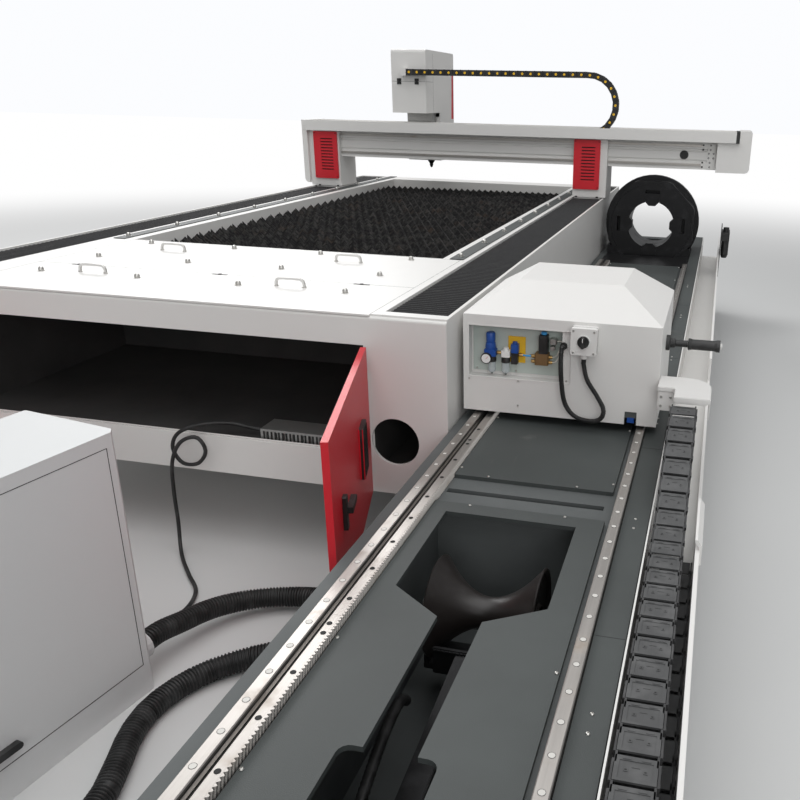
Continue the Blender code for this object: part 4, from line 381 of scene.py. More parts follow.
class Form:
    """Points and faces of a piece while it is being made."""

    def __init__(self):
        self.points = []
        self.faces = []

    def add(self, points, faces):
        base = len(self.points)
        self.points += [Vector(point) for point in points]
        self.faces += [[base + index for index in face] for face in faces]
        return self

    def join(self, other, matrix=None):
        points = [matrix @ point for point in other.points] if matrix else other.points
        return self.add(points, other.faces)

    def loft(self, rings, caps=True):
        """Skin a list of rings of points, each with as many points."""
        count = len(rings[0])
        faces = []
        for row in range(len(rings) - 1):
            for index in range(count):
                step = (index + 1) % count
                near, far = row * count, (row + 1) * count
                faces.append((near + index, near + step, far + step, far + index))
        if caps:
            faces.append(tuple(reversed(range(count))))
            faces.append(tuple((len(rings) - 1) * count + index for index in range(count)))
        return self.add([point for ring in rings for point in ring], faces)

    def prism(self, outline, axis, low, high):
        """Sweep an outline of (a, b) points along an axis."""
        order = {
            "X": lambda a, b, s: (s, a, b), "Y": lambda a, b, s: (a, s, b), "Z": lambda a, b, s: (a, b, s)
        }[axis]
        return self.loft([[Vector(order(a, b, s)) for a, b in outline] for s in (low, high)])

    def block(self, x, y, z, edge=0.0):
        """Box with its edges broken by a chamfer."""
        return self.prism(chamfered(x, y, edge), "Z", z[0], z[1])

    def turned(self, profile, axis, centre, steps=16, caps=True):
        """Turn a profile of (radius, height) points about an axis through a centre."""
        place = {
            "X": lambda r, h, c, s: (h, r * c, r * s),
            "Y": lambda r, h, c, s: (r * s, h, r * c),
            "Z": lambda r, h, c, s: (r * c, r * s, h),
        }[axis]
        centre = Vector(centre)
        turns = [(math.cos(angle), math.sin(angle)) for angle in round_angles(steps)]
        rings = [[centre + Vector(place(radius, height, c, s)) for c, s in turns] for radius, height in profile]
        return self.loft(rings, caps)

    def rod(self, radius, low, high, axis, centre, steps=16):
        """A plain round bar between two heights."""
        return self.turned([(0.0, low), (radius, low), (radius, high), (0.0, high)], axis, centre, steps)

    def tube(self, route, radius, sides=10):
        """Skin a round tube along a route. Radius is a number or a list with one for each point."""
        radii = radius if hasattr(radius, "__len__") else [radius] * len(route)
        rings = []
        for point, side, rise, size in zip(route, *frames_along(route), radii):
            rings.append(
                [
                    point + side * size * math.cos(angle) + rise * size * math.sin(angle)
                    for angle in round_angles(sides)
                ]
            )
        return self.loft(rings)

    def piece(self, name, finish, body=None, slot=None, smooth=None, bevel=None):
        """Make the object, with its faces turned outwards."""
        mesh = bpy.data.meshes.new(name)
        form = bmesh.new()
        corners = [form.verts.new(point + SHIFT) for point in self.points]
        for face in self.faces:
            form.faces.new([corners[index] for index in face])
        bmesh.ops.remove_doubles(form, verts=form.verts, dist=MERGE)
        bmesh.ops.dissolve_degenerate(form, dist=MERGE, edges=form.edges)
        bmesh.ops.recalc_face_normals(form, faces=form.faces)
        if bevel:
            sharp = [
                edge for edge in form.edges if len(edge.link_faces) == 2 and edge.calc_face_angle() > SHARP
            ]
            bmesh.ops.bevel(form, geom=sharp, offset=bevel, segments=2, affect="EDGES", clamp_overlap=True)
        form.to_mesh(mesh)
        form.free()
        item = placed(name, mesh)
        soften(mesh, smooth)
        if finish:
            mesh.materials.append(PAINTS[finish].material)
        return dress(item, body)


def dress(item, body):
    """Give a piece the body that it rides on."""
    if body:
        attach(item, body)
    return item


def chamfered(x, y, edge):
    """Outline of a rectangle with its corners cut."""
    (x0, x1), (y0, y1) = x, y
    if not edge:
        return [(x0, y0), (x1, y0), (x1, y1), (x0, y1)]
    return [
        (x0 + edge, y0), (x1 - edge, y0), (x1, y0 + edge), (x1, y1 - edge),
        (x1 - edge, y1), (x0 + edge, y1), (x0, y1 - edge), (x0, y0 + edge),
    ]


def frames_along(route):
    """Side and rise vectors along a route, without twist."""
    sides, rises = [], []
    side = None
    for index, point in enumerate(route):
        ahead = route[min(index + 1, len(route) - 1)] - route[max(index - 1, 0)]
        ahead.normalize()
        if side is None:
            side = ahead.cross(Vector((0.0, 0.0, 1.0)))
            if side.length < 0.1:
                side = ahead.cross(Vector((0.0, 1.0, 0.0)))
        side = (side - ahead * side.dot(ahead)).normalized()
        sides.append(side)
        rises.append(side.cross(ahead))
    return sides, rises


def smooth_route(stops, count):
    """Evenly spaced points on a smooth curve through stops, with straight ends."""
    stops = [Vector(stop) for stop in stops]
    padded = [2 * stops[0] - stops[1]] + stops + [2 * stops[-1] - stops[-2]]
    fine = []
    for index in range(1, len(padded) - 2):
        a, b, c, d = padded[index - 1 : index + 3]
        for step in range(24):
            t = step / 24
            across = 2 * b + (c - a) * t + (2 * a - 5 * b + 4 * c - d) * t**2 + (3 * b - a - 3 * c + d) * t**3
            fine.append(0.5 * across)
    fine.append(stops[-1])
    lengths = [0.0]
    for first, second in zip(fine, fine[1:]):
        lengths.append(lengths[-1] + (second - first).length)
    points = []
    index = 0
    for step in range(count + 1):
        target = lengths[-1] * step / count
        while index < len(fine) - 2 and lengths[index + 1] < target:
            index += 1
        share = (target - lengths[index]) / (lengths[index + 1] - lengths[index])
        points.append(fine[index].lerp(fine[index + 1], share))
    return points


# Repeats with Geometry Nodes


def tree(name, inputs):
    """An empty node tree with a geometry output and named inputs."""
    made = bpy.data.node_groups.new(name, "GeometryNodeTree")
    made.interface.new_socket("Geometry", in_out="OUTPUT", socket_type="NodeSocketGeometry")
    keys = {}
    for label, kind in inputs.items():
        keys[label] = made.interface.new_socket(label, in_out="INPUT", socket_type=kind).identifier
    return made, keys


def wire(made, kind, settings=(), values=()):
    """A node in a tree, with its settings and its sockets' values or links."""
    node = made.nodes.new(kind)
    for name, value in dict(settings).items():
        setattr(node, name, value)
    for name, value in dict(values).items():
        plug(made, node.inputs[name], value)
    return node


def finished(made, keys, geometry, finish):
    """End a tree with the finish of its geometry."""
    last = wire(made, "GeometryNodeSetMaterial", values={"Geometry": geometry, "Material": finish})
    wire(made, "NodeGroupOutput", values={"Geometry": last.outputs["Geometry"]})
    return made, keys


def row_tree():
    """Copies of one shape in a straight row."""
    kinds = {
        "Shape": "NodeSocketObject", "Count": "NodeSocketInt", "Start": "NodeSocketVector",
        "Step": "NodeSocketVector", "Finish": "NodeSocketMaterial",
    }
    made, keys = tree("row", kinds)
    given = wire(made, "NodeGroupInput").outputs
    shape = wire(made, "GeometryNodeObjectInfo", values={"Object": given["Shape"]})
    line = wire(
        made, "GeometryNodeMeshLine",
        values={"Count": given["Count"], "Start Location": given["Start"], "Offset": given["Step"]},
    )
    copies = wire(
        made, "GeometryNodeInstanceOnPoints",
        values={"Points": line.outputs["Mesh"], "Instance": shape.outputs["Geometry"]},
    )
    real = wire(made, "GeometryNodeRealizeInstances", values={"Geometry": copies.outputs["Instances"]})
    return finished(made, keys, real.outputs["Geometry"], given["Finish"])


ROW = row_tree()


def grown(name, kind, **inputs):
    """Run a node tree and keep its result as a plain mesh."""
    made, keys = kind
    host = placed(f"{name}_host", bpy.data.meshes.new(name))
    maker = host.modifiers.new("grow", "NODES")
    maker.node_group = made
    for label, value in inputs.items():
        maker[keys[label]] = value
    ready = host.evaluated_get(bpy.context.evaluated_depsgraph_get())
    mesh = bpy.data.meshes.new_from_object(ready)
    bpy.data.objects.remove(host)
    return mesh


def from_meshes(name, meshes, finish, body, smooth=None):
    """One piece from several meshes."""
    form = bmesh.new()
    for mesh in meshes:
        form.from_mesh(mesh)
    mesh = bpy.data.meshes.new(name)
    form.to_mesh(mesh)
    form.free()
    soften(mesh, smooth)
    mesh.materials.clear()
    mesh.materials.append(PAINTS[finish].material)
    item = placed(name, mesh)
    return dress(item, body)


def seed(form):
    """A shape for the trees to copy, modelled about the origin."""
    kept = Form()
    kept.points = [point - SHIFT for point in form.points]
    kept.faces = form.faces
    return kept.piece("seed", None)


def rows(name, shape, finish, body, lines, smooth=None):
    """Copies of a shape in rows of (count, start, step), as one piece."""
    maker = seed(shape)
    meshes = []
    for count, start, step in lines:
        start = Vector(start) + SHIFT
        meshes.append(
            grown(
                name, ROW, Shape=maker, Count=count, Start=start, Step=Vector(step),
                Finish=PAINTS[finish].material,
            )
        )
    bpy.data.objects.remove(maker)
    return from_meshes(name, meshes, finish, body, smooth)


# Camera, light and floor

SENSOR = 36.0
SKY, SKY_LIGHT = (0.97, 0.98, 1.0, 1.0), 0.36
FLOOR_REACH, FLOOR_DROP, FLOOR_FADE = 45.0, 0.0005, (5.0, 13.0)
# Name, place, aim, size and power
LAMPS = (
    ("windows", (-4.5, 5.5, 5.0), (0.0, 0.0, 0.8), (5.0, 3.0), 330.0),
    ("roof", (1.0, -1.0, 6.5), (0.2, 0.3, 0.5), (7.0, 9.0), 330.0),
    ("front", (3.5, -7.5, 3.2), (0.4, -1.0, 0.6), (4.0, 2.5), 130.0),
)


def set_camera():
    """The camera of the photograph, by its yaw, pitch, roll and focal length."""
    yaw, pitch, roll = (math.radians(angle) for angle in (CAMERA_YAW, CAMERA_PITCH, CAMERA_ROLL))
    ahead = Vector((-math.sin(yaw) * math.cos(pitch), math.cos(yaw) * math.cos(pitch), -math.sin(pitch)))
    level = Vector((math.cos(yaw), math.sin(yaw), 0.0))
    rise = level.cross(ahead)
    right = level * math.cos(roll) + rise * math.sin(roll)
    up = rise * math.cos(roll) - level * math.sin(roll)
    data = bpy.data.cameras.new("camera")
    data.sensor_width = SENSOR
    data.lens = SENSOR * FOCAL_PIXELS / IMAGE
    data.shift_x = -(PRINCIPAL_X - IMAGE / 2) / IMAGE
    data.clip_start = 0.02
    camera = placed("camera", data)
    camera.matrix_world = Matrix.Translation(CAMERA_PLACE) @ Matrix(
        ((right.x, up.x, -ahead.x), (right.y, up.y, -ahead.y), (right.z, up.z, -ahead.z))
    ).to_4x4()
    bpy.context.scene.camera = camera


def soft_lamp(name, place, aim, size, power):
    data = bpy.data.lights.new(name, "AREA")
    data.shape = "RECTANGLE"
    data.size, data.size_y = size
    data.energy = power
    lamp = placed(name, data)
    lamp.location = place
    lamp.rotation_euler = (Vector(aim) - Vector(place)).to_track_quat("-Z", "Y").to_euler()


def set_studio():
    """White surroundings for the camera, dimmer ones for the light, three soft lamps and the floor."""
    scene = bpy.context.scene
    scene.view_settings.view_transform = "Standard"
    world = bpy.data.worlds.new("studio")
    scene.world = world
    world.use_nodes = True
    sky = world.node_tree.nodes["Background"]
    sky.inputs["Color"].default_value = SKY
    path = wire(world.node_tree, "ShaderNodeLightPath").outputs
    seen = wire(
        world.node_tree, "ShaderNodeMath", {"operation": "MAXIMUM"},
        {0: path["Is Camera Ray"], 1: path["Is Transmission Ray"]},
    )
    level = wire(
        world.node_tree, "ShaderNodeMapRange",
        values={"To Min": SKY_LIGHT, "To Max": 1.0, "Value": seen.outputs[0]},
    )
    plug(world.node_tree, sky.inputs["Strength"], level.outputs["Result"])
    for lamp in LAMPS:
        soft_lamp(*lamp)
    lay_floor()


def lay_floor():
    """A pale floor that fades to white at a distance, where the camera sees it."""
    mesh = bpy.data.meshes.new("floor")
    corners = [(x * FLOOR_REACH, y * FLOOR_REACH, 0) for x, y in ((-1, -1), (1, -1), (1, 1), (-1, 1))]
    mesh.from_pydata(corners, [], [(0, 1, 2, 3)])
    floor = placed("floor", mesh)
    floor.location.z = -FLOOR_DROP
    finish = Finish("floor_finish", (0.62, 0.625, 0.62), 0.6)
    finish.give("Base Color", finish.mix(finish.noise(0.8, 4.0) * 0.5, (0.6, 0.605, 0.6), (0.66, 0.665, 0.66)))
    away = finish.node("ShaderNodeVectorMath", {"operation": "LENGTH"}, {0: finish.place()}).outputs["Value"]
    seen = Wire(finish.tree, finish.node("ShaderNodeLightPath").outputs["Is Camera Ray"])
    glow = finish.node("ShaderNodeEmission", values={"Color": (1.0, 1.0, 1.0), "Strength": 1.0})
    blend = finish.node(
        "ShaderNodeMixShader",
        values={0: finish.ramp(away, *FLOOR_FADE) * seen, 1: finish.shader.outputs[0], 2: glow.outputs[0]},
    )
    plug(finish.tree, finish.tree.nodes["Material Output"].inputs["Surface"], blend.outputs[0])
    mesh.materials.append(finish.material)


# Hoses and cables, on the routes of the CAD model


def reckon(made, operation, first, second):
    """The result of one maths node in a tree."""
    return wire(made, "ShaderNodeMath", {"operation": operation}, {0: first, 1: second}).outputs[0]


def hose_tree():
    """A round hose along a path, its skin raised in rings."""
    kinds = {
        "Path": "NodeSocketObject", "Radius": "NodeSocketFloat", "Ring": "NodeSocketFloat",
        "Depth": "NodeSocketFloat", "Finish": "NodeSocketMaterial",
    }
    made, keys = tree("ringed_hose", kinds)
    given = wire(made, "NodeGroupInput").outputs
    path = wire(made, "GeometryNodeObjectInfo", values={"Object": given["Path"]})
    curve = wire(made, "GeometryNodeMeshToCurve", values={"Mesh": path.outputs["Geometry"]})
    quarter = reckon(made, "MULTIPLY", given["Ring"], 0.25)
    fine = wire(
        made, "GeometryNodeResampleCurve", {"mode": "LENGTH"}, {
            "Curve": curve.outputs["Curve"], "Length": quarter
        }
    )
    index = wire(made, "GeometryNodeInputIndex")
    raised = reckon(made, "LESS_THAN", reckon(made, "MODULO", index.outputs["Index"], 4.0), 1.5)
    depth = reckon(made, "MULTIPLY", reckon(made, "SUBTRACT", 1.0, raised), given["Depth"])
    size = reckon(made, "SUBTRACT", given["Radius"], depth)
    ring = wire(made, "GeometryNodeCurvePrimitiveCircle", values={"Resolution": 18, "Radius": 1.0})
    values = {
        "Curve": fine.outputs["Curve"], "Profile Curve": ring.outputs["Curve"], "Scale": size, "Fill Caps": True
    }
    skin = wire(made, "GeometryNodeCurveToMesh", values=values)
    return finished(made, keys, skin.outputs["Mesh"], given["Finish"])


HOSE = hose_tree()
CABINET_CORNER = (-0.715, 0.745)
CABINET_TURN = math.radians(-9.8)
CABINET_WIDTH, CABINET_DEPTH = 0.6, 0.33
# Each gland's place across the cabinet, its side and its height
GLANDS = [(-0.07, 1, 0.1), (-0.15, 1, 0.06), (-0.268, -1, 0.1)]
HOOD_FACE, HOOD_SIDE = 1.6, 0.6056
# Diameter, ring pitch and ring depth
CONDUIT, RINGED_CORD, CABLE = (0.066, 0.01, 0.0045), (0.016, 0.0036, 0.0014), 0.014


def cabinet_point(across, along, height):
    """A point given from the cabinet's corner, in the cabinet's own directions."""
    local = Vector((across, along, height))
    local.rotate(Matrix.Rotation(CABINET_TURN, 3, "Z"))
    return Vector((*CABINET_CORNER, 0.0)) + local


def gland_end(index, standoff):
    """The point at a distance before a gland of the cabinet."""
    across, side, height = GLANDS[index]
    along = 0.03 + standoff if side > 0 else -CABINET_WIDTH - 0.03 - standoff
    return cabinet_point(across, along, height)


def hose(name, route, diameter, ring, depth, slot, body):
    """A ringed hose in the place of its CAD node."""
    thread = bpy.data.meshes.new("thread")
    thread.from_pydata([point + SHIFT for point in route], [(i, i + 1) for i in range(len(route) - 1)], [])
    guide = placed("thread", thread)
    sizes = {"Radius": diameter / 2, "Ring": ring, "Depth": depth}
    mesh = grown(name, HOSE, Path=guide, Finish=PAINTS[slot].material, **sizes)
    bpy.data.objects.remove(guide)
    soften(mesh, 50)
    item = placed(name, mesh)
    declare_cord(item, name, body)


def plain_cable(name, route, diameter, slot, body):
    """A smooth cable in the place of its CAD node."""
    item = Form().tube(route, diameter / 2, 10).piece(name, slot, None, smooth=60)
    declare_cord(item, name, body)


def declare_cord(item, name, body):
    """A cord takes the place of its CAD node and rides on its body."""
    item.name = f"{name}_look"
    dress(item, body)
    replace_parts(item, name)


def cords():
    """Two ringed hoses and a thin cable to the cabinet, and the ringed cord of the switch box."""
    lie = 0.034
    entry = -0.0963
    first = [
        gland_end(0, GAP), gland_end(0, 0.06), (-0.752, 0.92, 0.085), (-0.712, 1.035, 0.068),
        (-0.632, 1.13, 0.052), (-0.515, 1.185, 0.046), (-0.39, 1.185, 0.06), (-0.27, 1.135, 0.105),
        (-0.18, 1.08, 0.158), (-0.13, 1.06, 0.18), (entry, 1.06, 0.18),
    ]
    second = [
        gland_end(2, GAP), gland_end(2, 0.06), (-1.08, -0.02, 0.062), (-0.99, -0.13, 0.04),
        (-0.86, -0.175, lie), (-0.72, -0.13, lie), (-0.62, -0.01, lie), (-0.566, 0.15, lie),
        (-0.556, 0.3, lie), (-0.592, 0.42, lie), (-0.632, 0.53, lie), (-0.64, 0.64, lie),
        (-0.6, 0.76, lie), (-0.52, 0.85, 0.038), (-0.41, 0.9, 0.056), (-0.29, 0.895, 0.1),
        (-0.19, 0.858, 0.16), (-0.13, 0.84, 0.19), (entry, 0.84, 0.19),
    ]
    hose("conduit_1", smooth_route(first, 36), *CONDUIT, "hose_rubber", "base")
    hose("conduit_2", smooth_route(second, 40), *CONDUIT, "hose_rubber", "base")
    low = 0.011
    sill = [
        (-0.7803, 1.5623, 0.466), (-0.83, 1.5623, 0.466), (-0.92, 1.54, 0.486), (-1.0, 1.484, 0.492),
        (-1.075, 1.46, 0.462), (-1.1, 1.452, 0.405), (-1.065, 1.448, 0.352), (-1.0, 1.446, 0.358),
        (-0.962, 1.444, 0.412), (-0.99, 1.44, 0.462), (-1.05, 1.43, 0.44), (-1.092, 1.428, 0.36),
        (-1.104, 1.43, 0.24), (-1.1, 1.425, 0.12), (-1.086, 1.4, 0.03), (-1.04, 1.345, low),
        (-0.96, 1.262, low), (-0.88, 1.18, low), (-0.85, 1.08, low), (-0.862, 0.97, 0.02),
        gland_end(1, 0.06), gland_end(1, GAP),
    ]
    plain_cable("sill_cable", smooth_route(sill, 140), CABLE, "hose_rubber", "base")
    cord = (
        (0.29, 0.0143, 0.86), (0.29, 0.034, 0.86), (0.29, 0.044, 0.82), (0.294, 0.042, 0.75),
        (0.306, 0.038, 0.68), (0.336, 0.036, 0.638), (0.382, 0.038, 0.624), (0.424, 0.042, 0.634),
        (0.436, 0.044, 0.67), (0.41, 0.04, 0.716), (0.376, 0.03, 0.762), (0.361, 0.022, 0.812),
        (0.361, 0.022, 0.831 - GAP),
    )
    cord = [(x, HOOD_FACE - depth, z) for x, depth, z in cord]
    hose("control_cord", smooth_route(cord, 36), *RINGED_CORD, "black_plastic", "rear_chuck")


# Tube bed: rack, rails, deck and drag chain

TUBE_FRONT, RACK_REAR = -1.6, 4.6
RACK_LEFT, RACK_WIDTH, RACK_TOP = 0.031, 0.022, 0.5965
DECK_TOP = 0.5805
COVER_TOP = 0.5846
RAIL_TOP, RAIL_PLACES = 0.6, (0.0, 0.555)
CHAIN_LEFT, CHAIN_WIDTH, CHAIN_HEIGHT, CHAIN_PITCH = 0.652, 0.082, 0.042, 0.066
CHAIN_LEAN = 0.025
CHAIN_UPPER, CHAIN_BEND, CHAIN_BEND_Y = 0.578, 0.06, -0.15
CHAIN_FIXED_Y, CHAIN_CARRIED_Y, CHAIN_RISE = 1.0, 1.45, 0.15


def rack():
    """Helical rack in bars of 1 m, with its bolt holes."""
    pitch, slope, low, high = 0.0105, 0.0088, 0.5688, RACK_TOP
    count = int((RACK_REAR - TUBE_FRONT) / pitch)
    root, bars = RACK_LEFT + RACK_WIDTH, 6
    flank = (
        (-0.0008, 0.0), (0.0002, 0.0012), (0.0046, 0.0036), (0.0046, 0.0062), (0.0002, 0.009),
        (-0.0008, 0.0102),
    )
    tooth = Form().loft(
        [
            [Vector((root + out, lean + along, z)) for out, along in flank]
            for z, lean in ((low, 0.0), (high, slope))
        ]
    )
    rows("rack_teeth", tooth, "ground_steel", "base", [(count - 1, (0, TUBE_FRONT, 0), (0, pitch, 0))])
    section = [
        (RACK_LEFT, low), (root, low), (root, high - 0.001), (root - 0.001, high),
        (RACK_LEFT + 0.001, high), (RACK_LEFT, high - 0.001),
    ]
    bar = Form()
    for index in range(bars):
        start = TUBE_FRONT + index * 1.0 + (0.0006 if index else 0.0)
        end = min(TUBE_FRONT + (index + 1) * 1.0, RACK_REAR) if index < bars - 1 else RACK_REAR
        bar.prism(section, "Y", start, end)
    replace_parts(bar.piece("rack_bar", "ground_steel", "base"), "tube_rack")
    # Dark discs of painted shade in the rack's bolt holes
    hole = Form().turned([(0.0036, 0.0), (0.0062, 0.0002), (0.0062, 0.0004), (0.0, 0.0004)], "Z", (0, 0, 0), 12)
    middle = RACK_LEFT + RACK_WIDTH / 2
    lines = [
        (49, (middle, TUBE_FRONT + 0.0625, high), (0, 0.125, 0)),
        (6, (middle - 0.002, TUBE_FRONT + 0.97, high), (0, 1.0, 0)),
    ]
    rows("rack_holes", hole, "dark_seam_and_shade", "base", lines)


def rails():
    """Caps in the rails' bolt holes, and the ground grooves of their flanks as dark strips of painted shade."""
    cap = Form().turned(
        [(0.0064, -0.0002), (0.0064, 0.0003), (0.0058, 0.0005), (0.0, 0.0005)], "Z", (0, 0, 0), 14
    )
    lines = [(77, (x, TUBE_FRONT + 0.04, RAIL_TOP), (0, 0.08, 0)) for x in RAIL_PLACES]
    rows("rail_caps", cap, "pale_cap", "base", lines)
    ring = Form().turned([(0.0064, 0.0), (0.0072, 0.0), (0.0072, 0.0003), (0.0064, 0.0003)], "Z", (0, 0, 0), 14)
    rows("rail_cap_rims", ring, "dark_seam_and_shade", "base", lines)
    # Painted shade: dark strips for the grooves
    grooves = Form()
    for x in RAIL_PLACES:
        for side in (-1, 1):
            edge = x + side * 0.0141
            for low, high in ((0.5755, 0.5785), (0.5905, 0.5925)):
                grooves.block(
                    sorted((edge - side * 0.0004, edge + side * 0.0003)), (TUBE_FRONT, 4.598), (low, high)
                )
    grooves.piece("rail_grooves", "dark_seam_and_shade", "base")


def screw(radius=0.0042, height=0.0026):
    """Button head with its hexagon socket."""
    hollow, bottom = radius * 0.42, height * 0.5
    profile = [
        (radius, 0.0), (radius, height * 0.3), (radius * 0.75, height * 0.85), (hollow, height),
        (hollow, bottom), (0.0, bottom),
    ]
    return Form().turned(profile, "Z", (0, 0, 0), 12)


def deck_screws():
    """Screws of the decks and the cover plate, and the cover's seams."""
    lines = []
    for x in (0.066, 0.519):
        lines += [(6, (x, -1.45, DECK_TOP), (0, 0.36, 0)), (9, (x, 1.2, DECK_TOP), (0, 0.42, 0))]
    lines += [(2, (0.16, y, DECK_TOP), (0.26, 0, 0)) for y in (0.972, 1.158)]
    lines += [(8, (0.603, y, COVER_TOP), (0, 0.75, 0)) for y in (-1.3, -1.25)]
    rows("deck_screws", screw(), "bright_screw", "base", lines)
    seam = Form()
    for y in (-0.52, 0.48, 1.48, 2.48, 3.48):
        seam.block((0.572, 0.636), (y, y + 0.0012), (COVER_TOP - 0.0004, COVER_TOP + 0.0002))
    seam.piece("cover_seams", "dark_seam_and_shade", "base")


# Reach of the bend run's ends on each side of the turn
HALF_WAY = 80.0


def chain_route():
    """Middle line of the drag chain, from its fixed end to the carriage's bracket."""
    lower = CHAIN_UPPER - 2 * CHAIN_BEND
    stops = [(CHAIN_FIXED_Y, lower), (CHAIN_BEND_Y, lower)]
    for step in range(1, 24):
        angle = -math.pi / 2 - math.pi * step / 24
        stops.append(
            (
                CHAIN_BEND_Y + CHAIN_BEND * math.cos(angle),
                CHAIN_UPPER - CHAIN_BEND + CHAIN_BEND * math.sin(angle),
            )
        )
    stops.append((CHAIN_BEND_Y, CHAIN_UPPER))
    rise = CHAIN_CARRIED_Y - 0.6
    stops.append((rise, CHAIN_UPPER))
    for step in range(1, 25):
        share = step / 24
        climb = share * share * (3 - 2 * share)
        stops.append((rise + share * (CHAIN_CARRIED_Y - rise), CHAIN_UPPER + CHAIN_RISE * climb))
    points = []
    for y, z in stops:
        fall = min(1.0, max(0.0, (CHAIN_UPPER - z) / (2 * CHAIN_BEND)))
        points.append(Vector((CHAIN_LEFT + CHAIN_WIDTH / 2 + CHAIN_LEAN * fall, y, z)))
    return points


def walk(route, pitch):
    """Places and headings at even steps along a route."""
    lengths = [0.0]
    for first, second in zip(route, route[1:]):
        lengths.append(lengths[-1] + (second - first).length)
    count = round(lengths[-1] / pitch)
    step = lengths[-1] / count
    made = []
    for number in range(count):
        ends = []
        for distance in (number * step, (number + 1) * step):
            index = 0
            while index < len(route) - 2 and lengths[index + 1] < distance:
                index += 1
            share = (distance - lengths[index]) / (lengths[index + 1] - lengths[index])
            ends.append(route[index].lerp(route[index + 1], share))
        made.append(((ends[0] + ends[1]) / 2, (ends[1] - ends[0]).normalized()))
    return made, step


def standing(place, heading, across):
    """Matrix with Y along the heading and Z up out of the chain."""
    rise = across.cross(heading).normalized()
    matrix = Matrix((across, heading, rise)).transposed().to_4x4()
    matrix.translation = place
    return matrix


def link_sides(width, height, pitch):
    """The two side plates of a link: one end inside its neighbour, with a pin."""
    form = Form()
    half = width / 2
    for side in (-1, 1):
        for inset, low, high in ((0.0, -0.46, 0.28), (0.004, 0.18, 0.56)):
            x0, x1 = sorted((side * (half - inset), side * (half - inset - 0.004)))
            outline = [
                (low * pitch, -height / 2), (high * pitch, -height / 2), ((high + 0.08) * pitch, -height / 4),
                ((high + 0.08) * pitch, height / 4), (high * pitch, height / 2), (low * pitch, height / 2),
            ]
            form.prism(outline, "X", x0, x1)
        centre = (side * (half - 0.002), 0.4 * pitch - pitch * 0.5, 0.0)
        form.rod(0.008, -0.003, 0.003, "X", centre, 12)
    return form


def link_cover(width, height, pitch):
    """The cover plate of a link: a recessed window, two lugs and a thumb lip."""
    form = Form()
    half, top = width / 2 - 0.005, height / 2
    low, high = -0.42 * pitch, 0.42 * pitch
    form.block((-half, half), (low, high), (top - 0.0045, top - 0.0012), 0.001)
    frame_wide = 0.008
    for x0, x1, y0, y1 in (
        (-half, half, low, low + 0.006),
        (-half, half, high - 0.01, high),
        (-half, -half + frame_wide, low + 0.006, high - 0.01),
        (half - frame_wide, half, low + 0.006, high - 0.01),
    ):
        form.block((x0, x1), (y0, y1), (top - 0.0015, top), 0.0006)
    for x in (-0.016, 0.016):
        form.block((x - 0.0035, x + 0.0035), (-0.006, 0.002), (top - 0.0015, top - 0.0002), 0.0005)
        form.block((x - 0.007, x + 0.007), (high - 0.008, high - 0.003), (top, top + 0.001), 0.0005)
    form.block((-half, half), (low, high), (-top, -top + 0.003), 0.001)
    return form


def link_lugs(width, height, pitch):
    """Painted shade: dark slots beside the lugs and a dark sheet in the gap to the next cover."""
    form = Form()
    half, top = width / 2 - 0.006, height / 2
    for x in (-0.016, 0.016):
        form.block((x - 0.0018, x + 0.0018), (-0.0035, -0.001), (top - 0.0012, top + 0.0001))
    form.block((-0.007, 0.007), (0.004, 0.0048), (top - 0.0013, top - 0.0009))
    form.block((-half, half), (0.43 * pitch, 0.57 * pitch), (top - 0.014, top - 0.01))
    return form


def chain_runs(name, runs, shapes, size, places, across, slot_node):
    """The pieces of a chain: the links of each run, joined into one piece for each part."""
    links, step = places
    for run, wanted, start, end in runs:
        for part, make, finish in shapes:
            shape = make(*size, step)
            form = Form()
            for place, heading in links:
                if wanted(place):
                    form.join(shape, standing(place, heading, across))
            item = form.piece(f"{name}_{run}_{part}", finish, None, slot="chain_plastic")
            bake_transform(item)
            if part == "sides":
                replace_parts(item, slot_node)


def drag_chain():
    """The tube bed's drag chain: sides, covers and slots, in a lower run, a bend and an upper run."""
    middle, turn = CHAIN_UPPER - CHAIN_BEND, CHAIN_BEND_Y
    shapes = (
        ("sides", link_sides, "chain_plastic"), ("covers", link_cover, "link_cover"),
        ("slots", link_lugs, "dark_seam_and_shade"),
    )
    runs = (
        (
            "lower", lambda p: p.y >= turn and p.z < middle, at(0, CHAIN_FIXED_Y, 0),
            at(0, 2 * turn - CHAIN_FIXED_Y, 0),
        ),
        ("bend", lambda p: p.y < turn, at(0, turn - HALF_WAY, 0), at(0, turn + HALF_WAY, 0)),
        (
            "upper", lambda p: p.y >= turn and p.z > middle, at(0, 2 * turn - CHAIN_CARRIED_Y, 0),
            at(0, CHAIN_CARRIED_Y, 0),
        ),
    )
    size, across = (CHAIN_WIDTH, CHAIN_HEIGHT), Vector((1, 0, 0))
    chain_runs(
        "chain", runs, shapes, size, walk(chain_route(), CHAIN_PITCH), across, "tube_chain",
    )


# Sheet bed: slats, bellows, lids and bay

BED_TOP = 0.945
TABLE_LEFT, TABLE_RIGHT, TABLE_FRONT, TABLE_REAR = -1.95, -0.42, 2.5, 5.8
SLAT_TOP, SLAT_LOW = 0.91, 0.81
RIGHT_CHANNEL, LEFT_CHANNEL = (-0.3, -0.084), (-2.31, -2.094)
LID_LEFT, LID_RIGHT, LID_SEAM, LID_REAR, STRIP_TOP, BOW_REACH = -1.95, -0.335, 1.91, 2.49, 0.949, 0.056


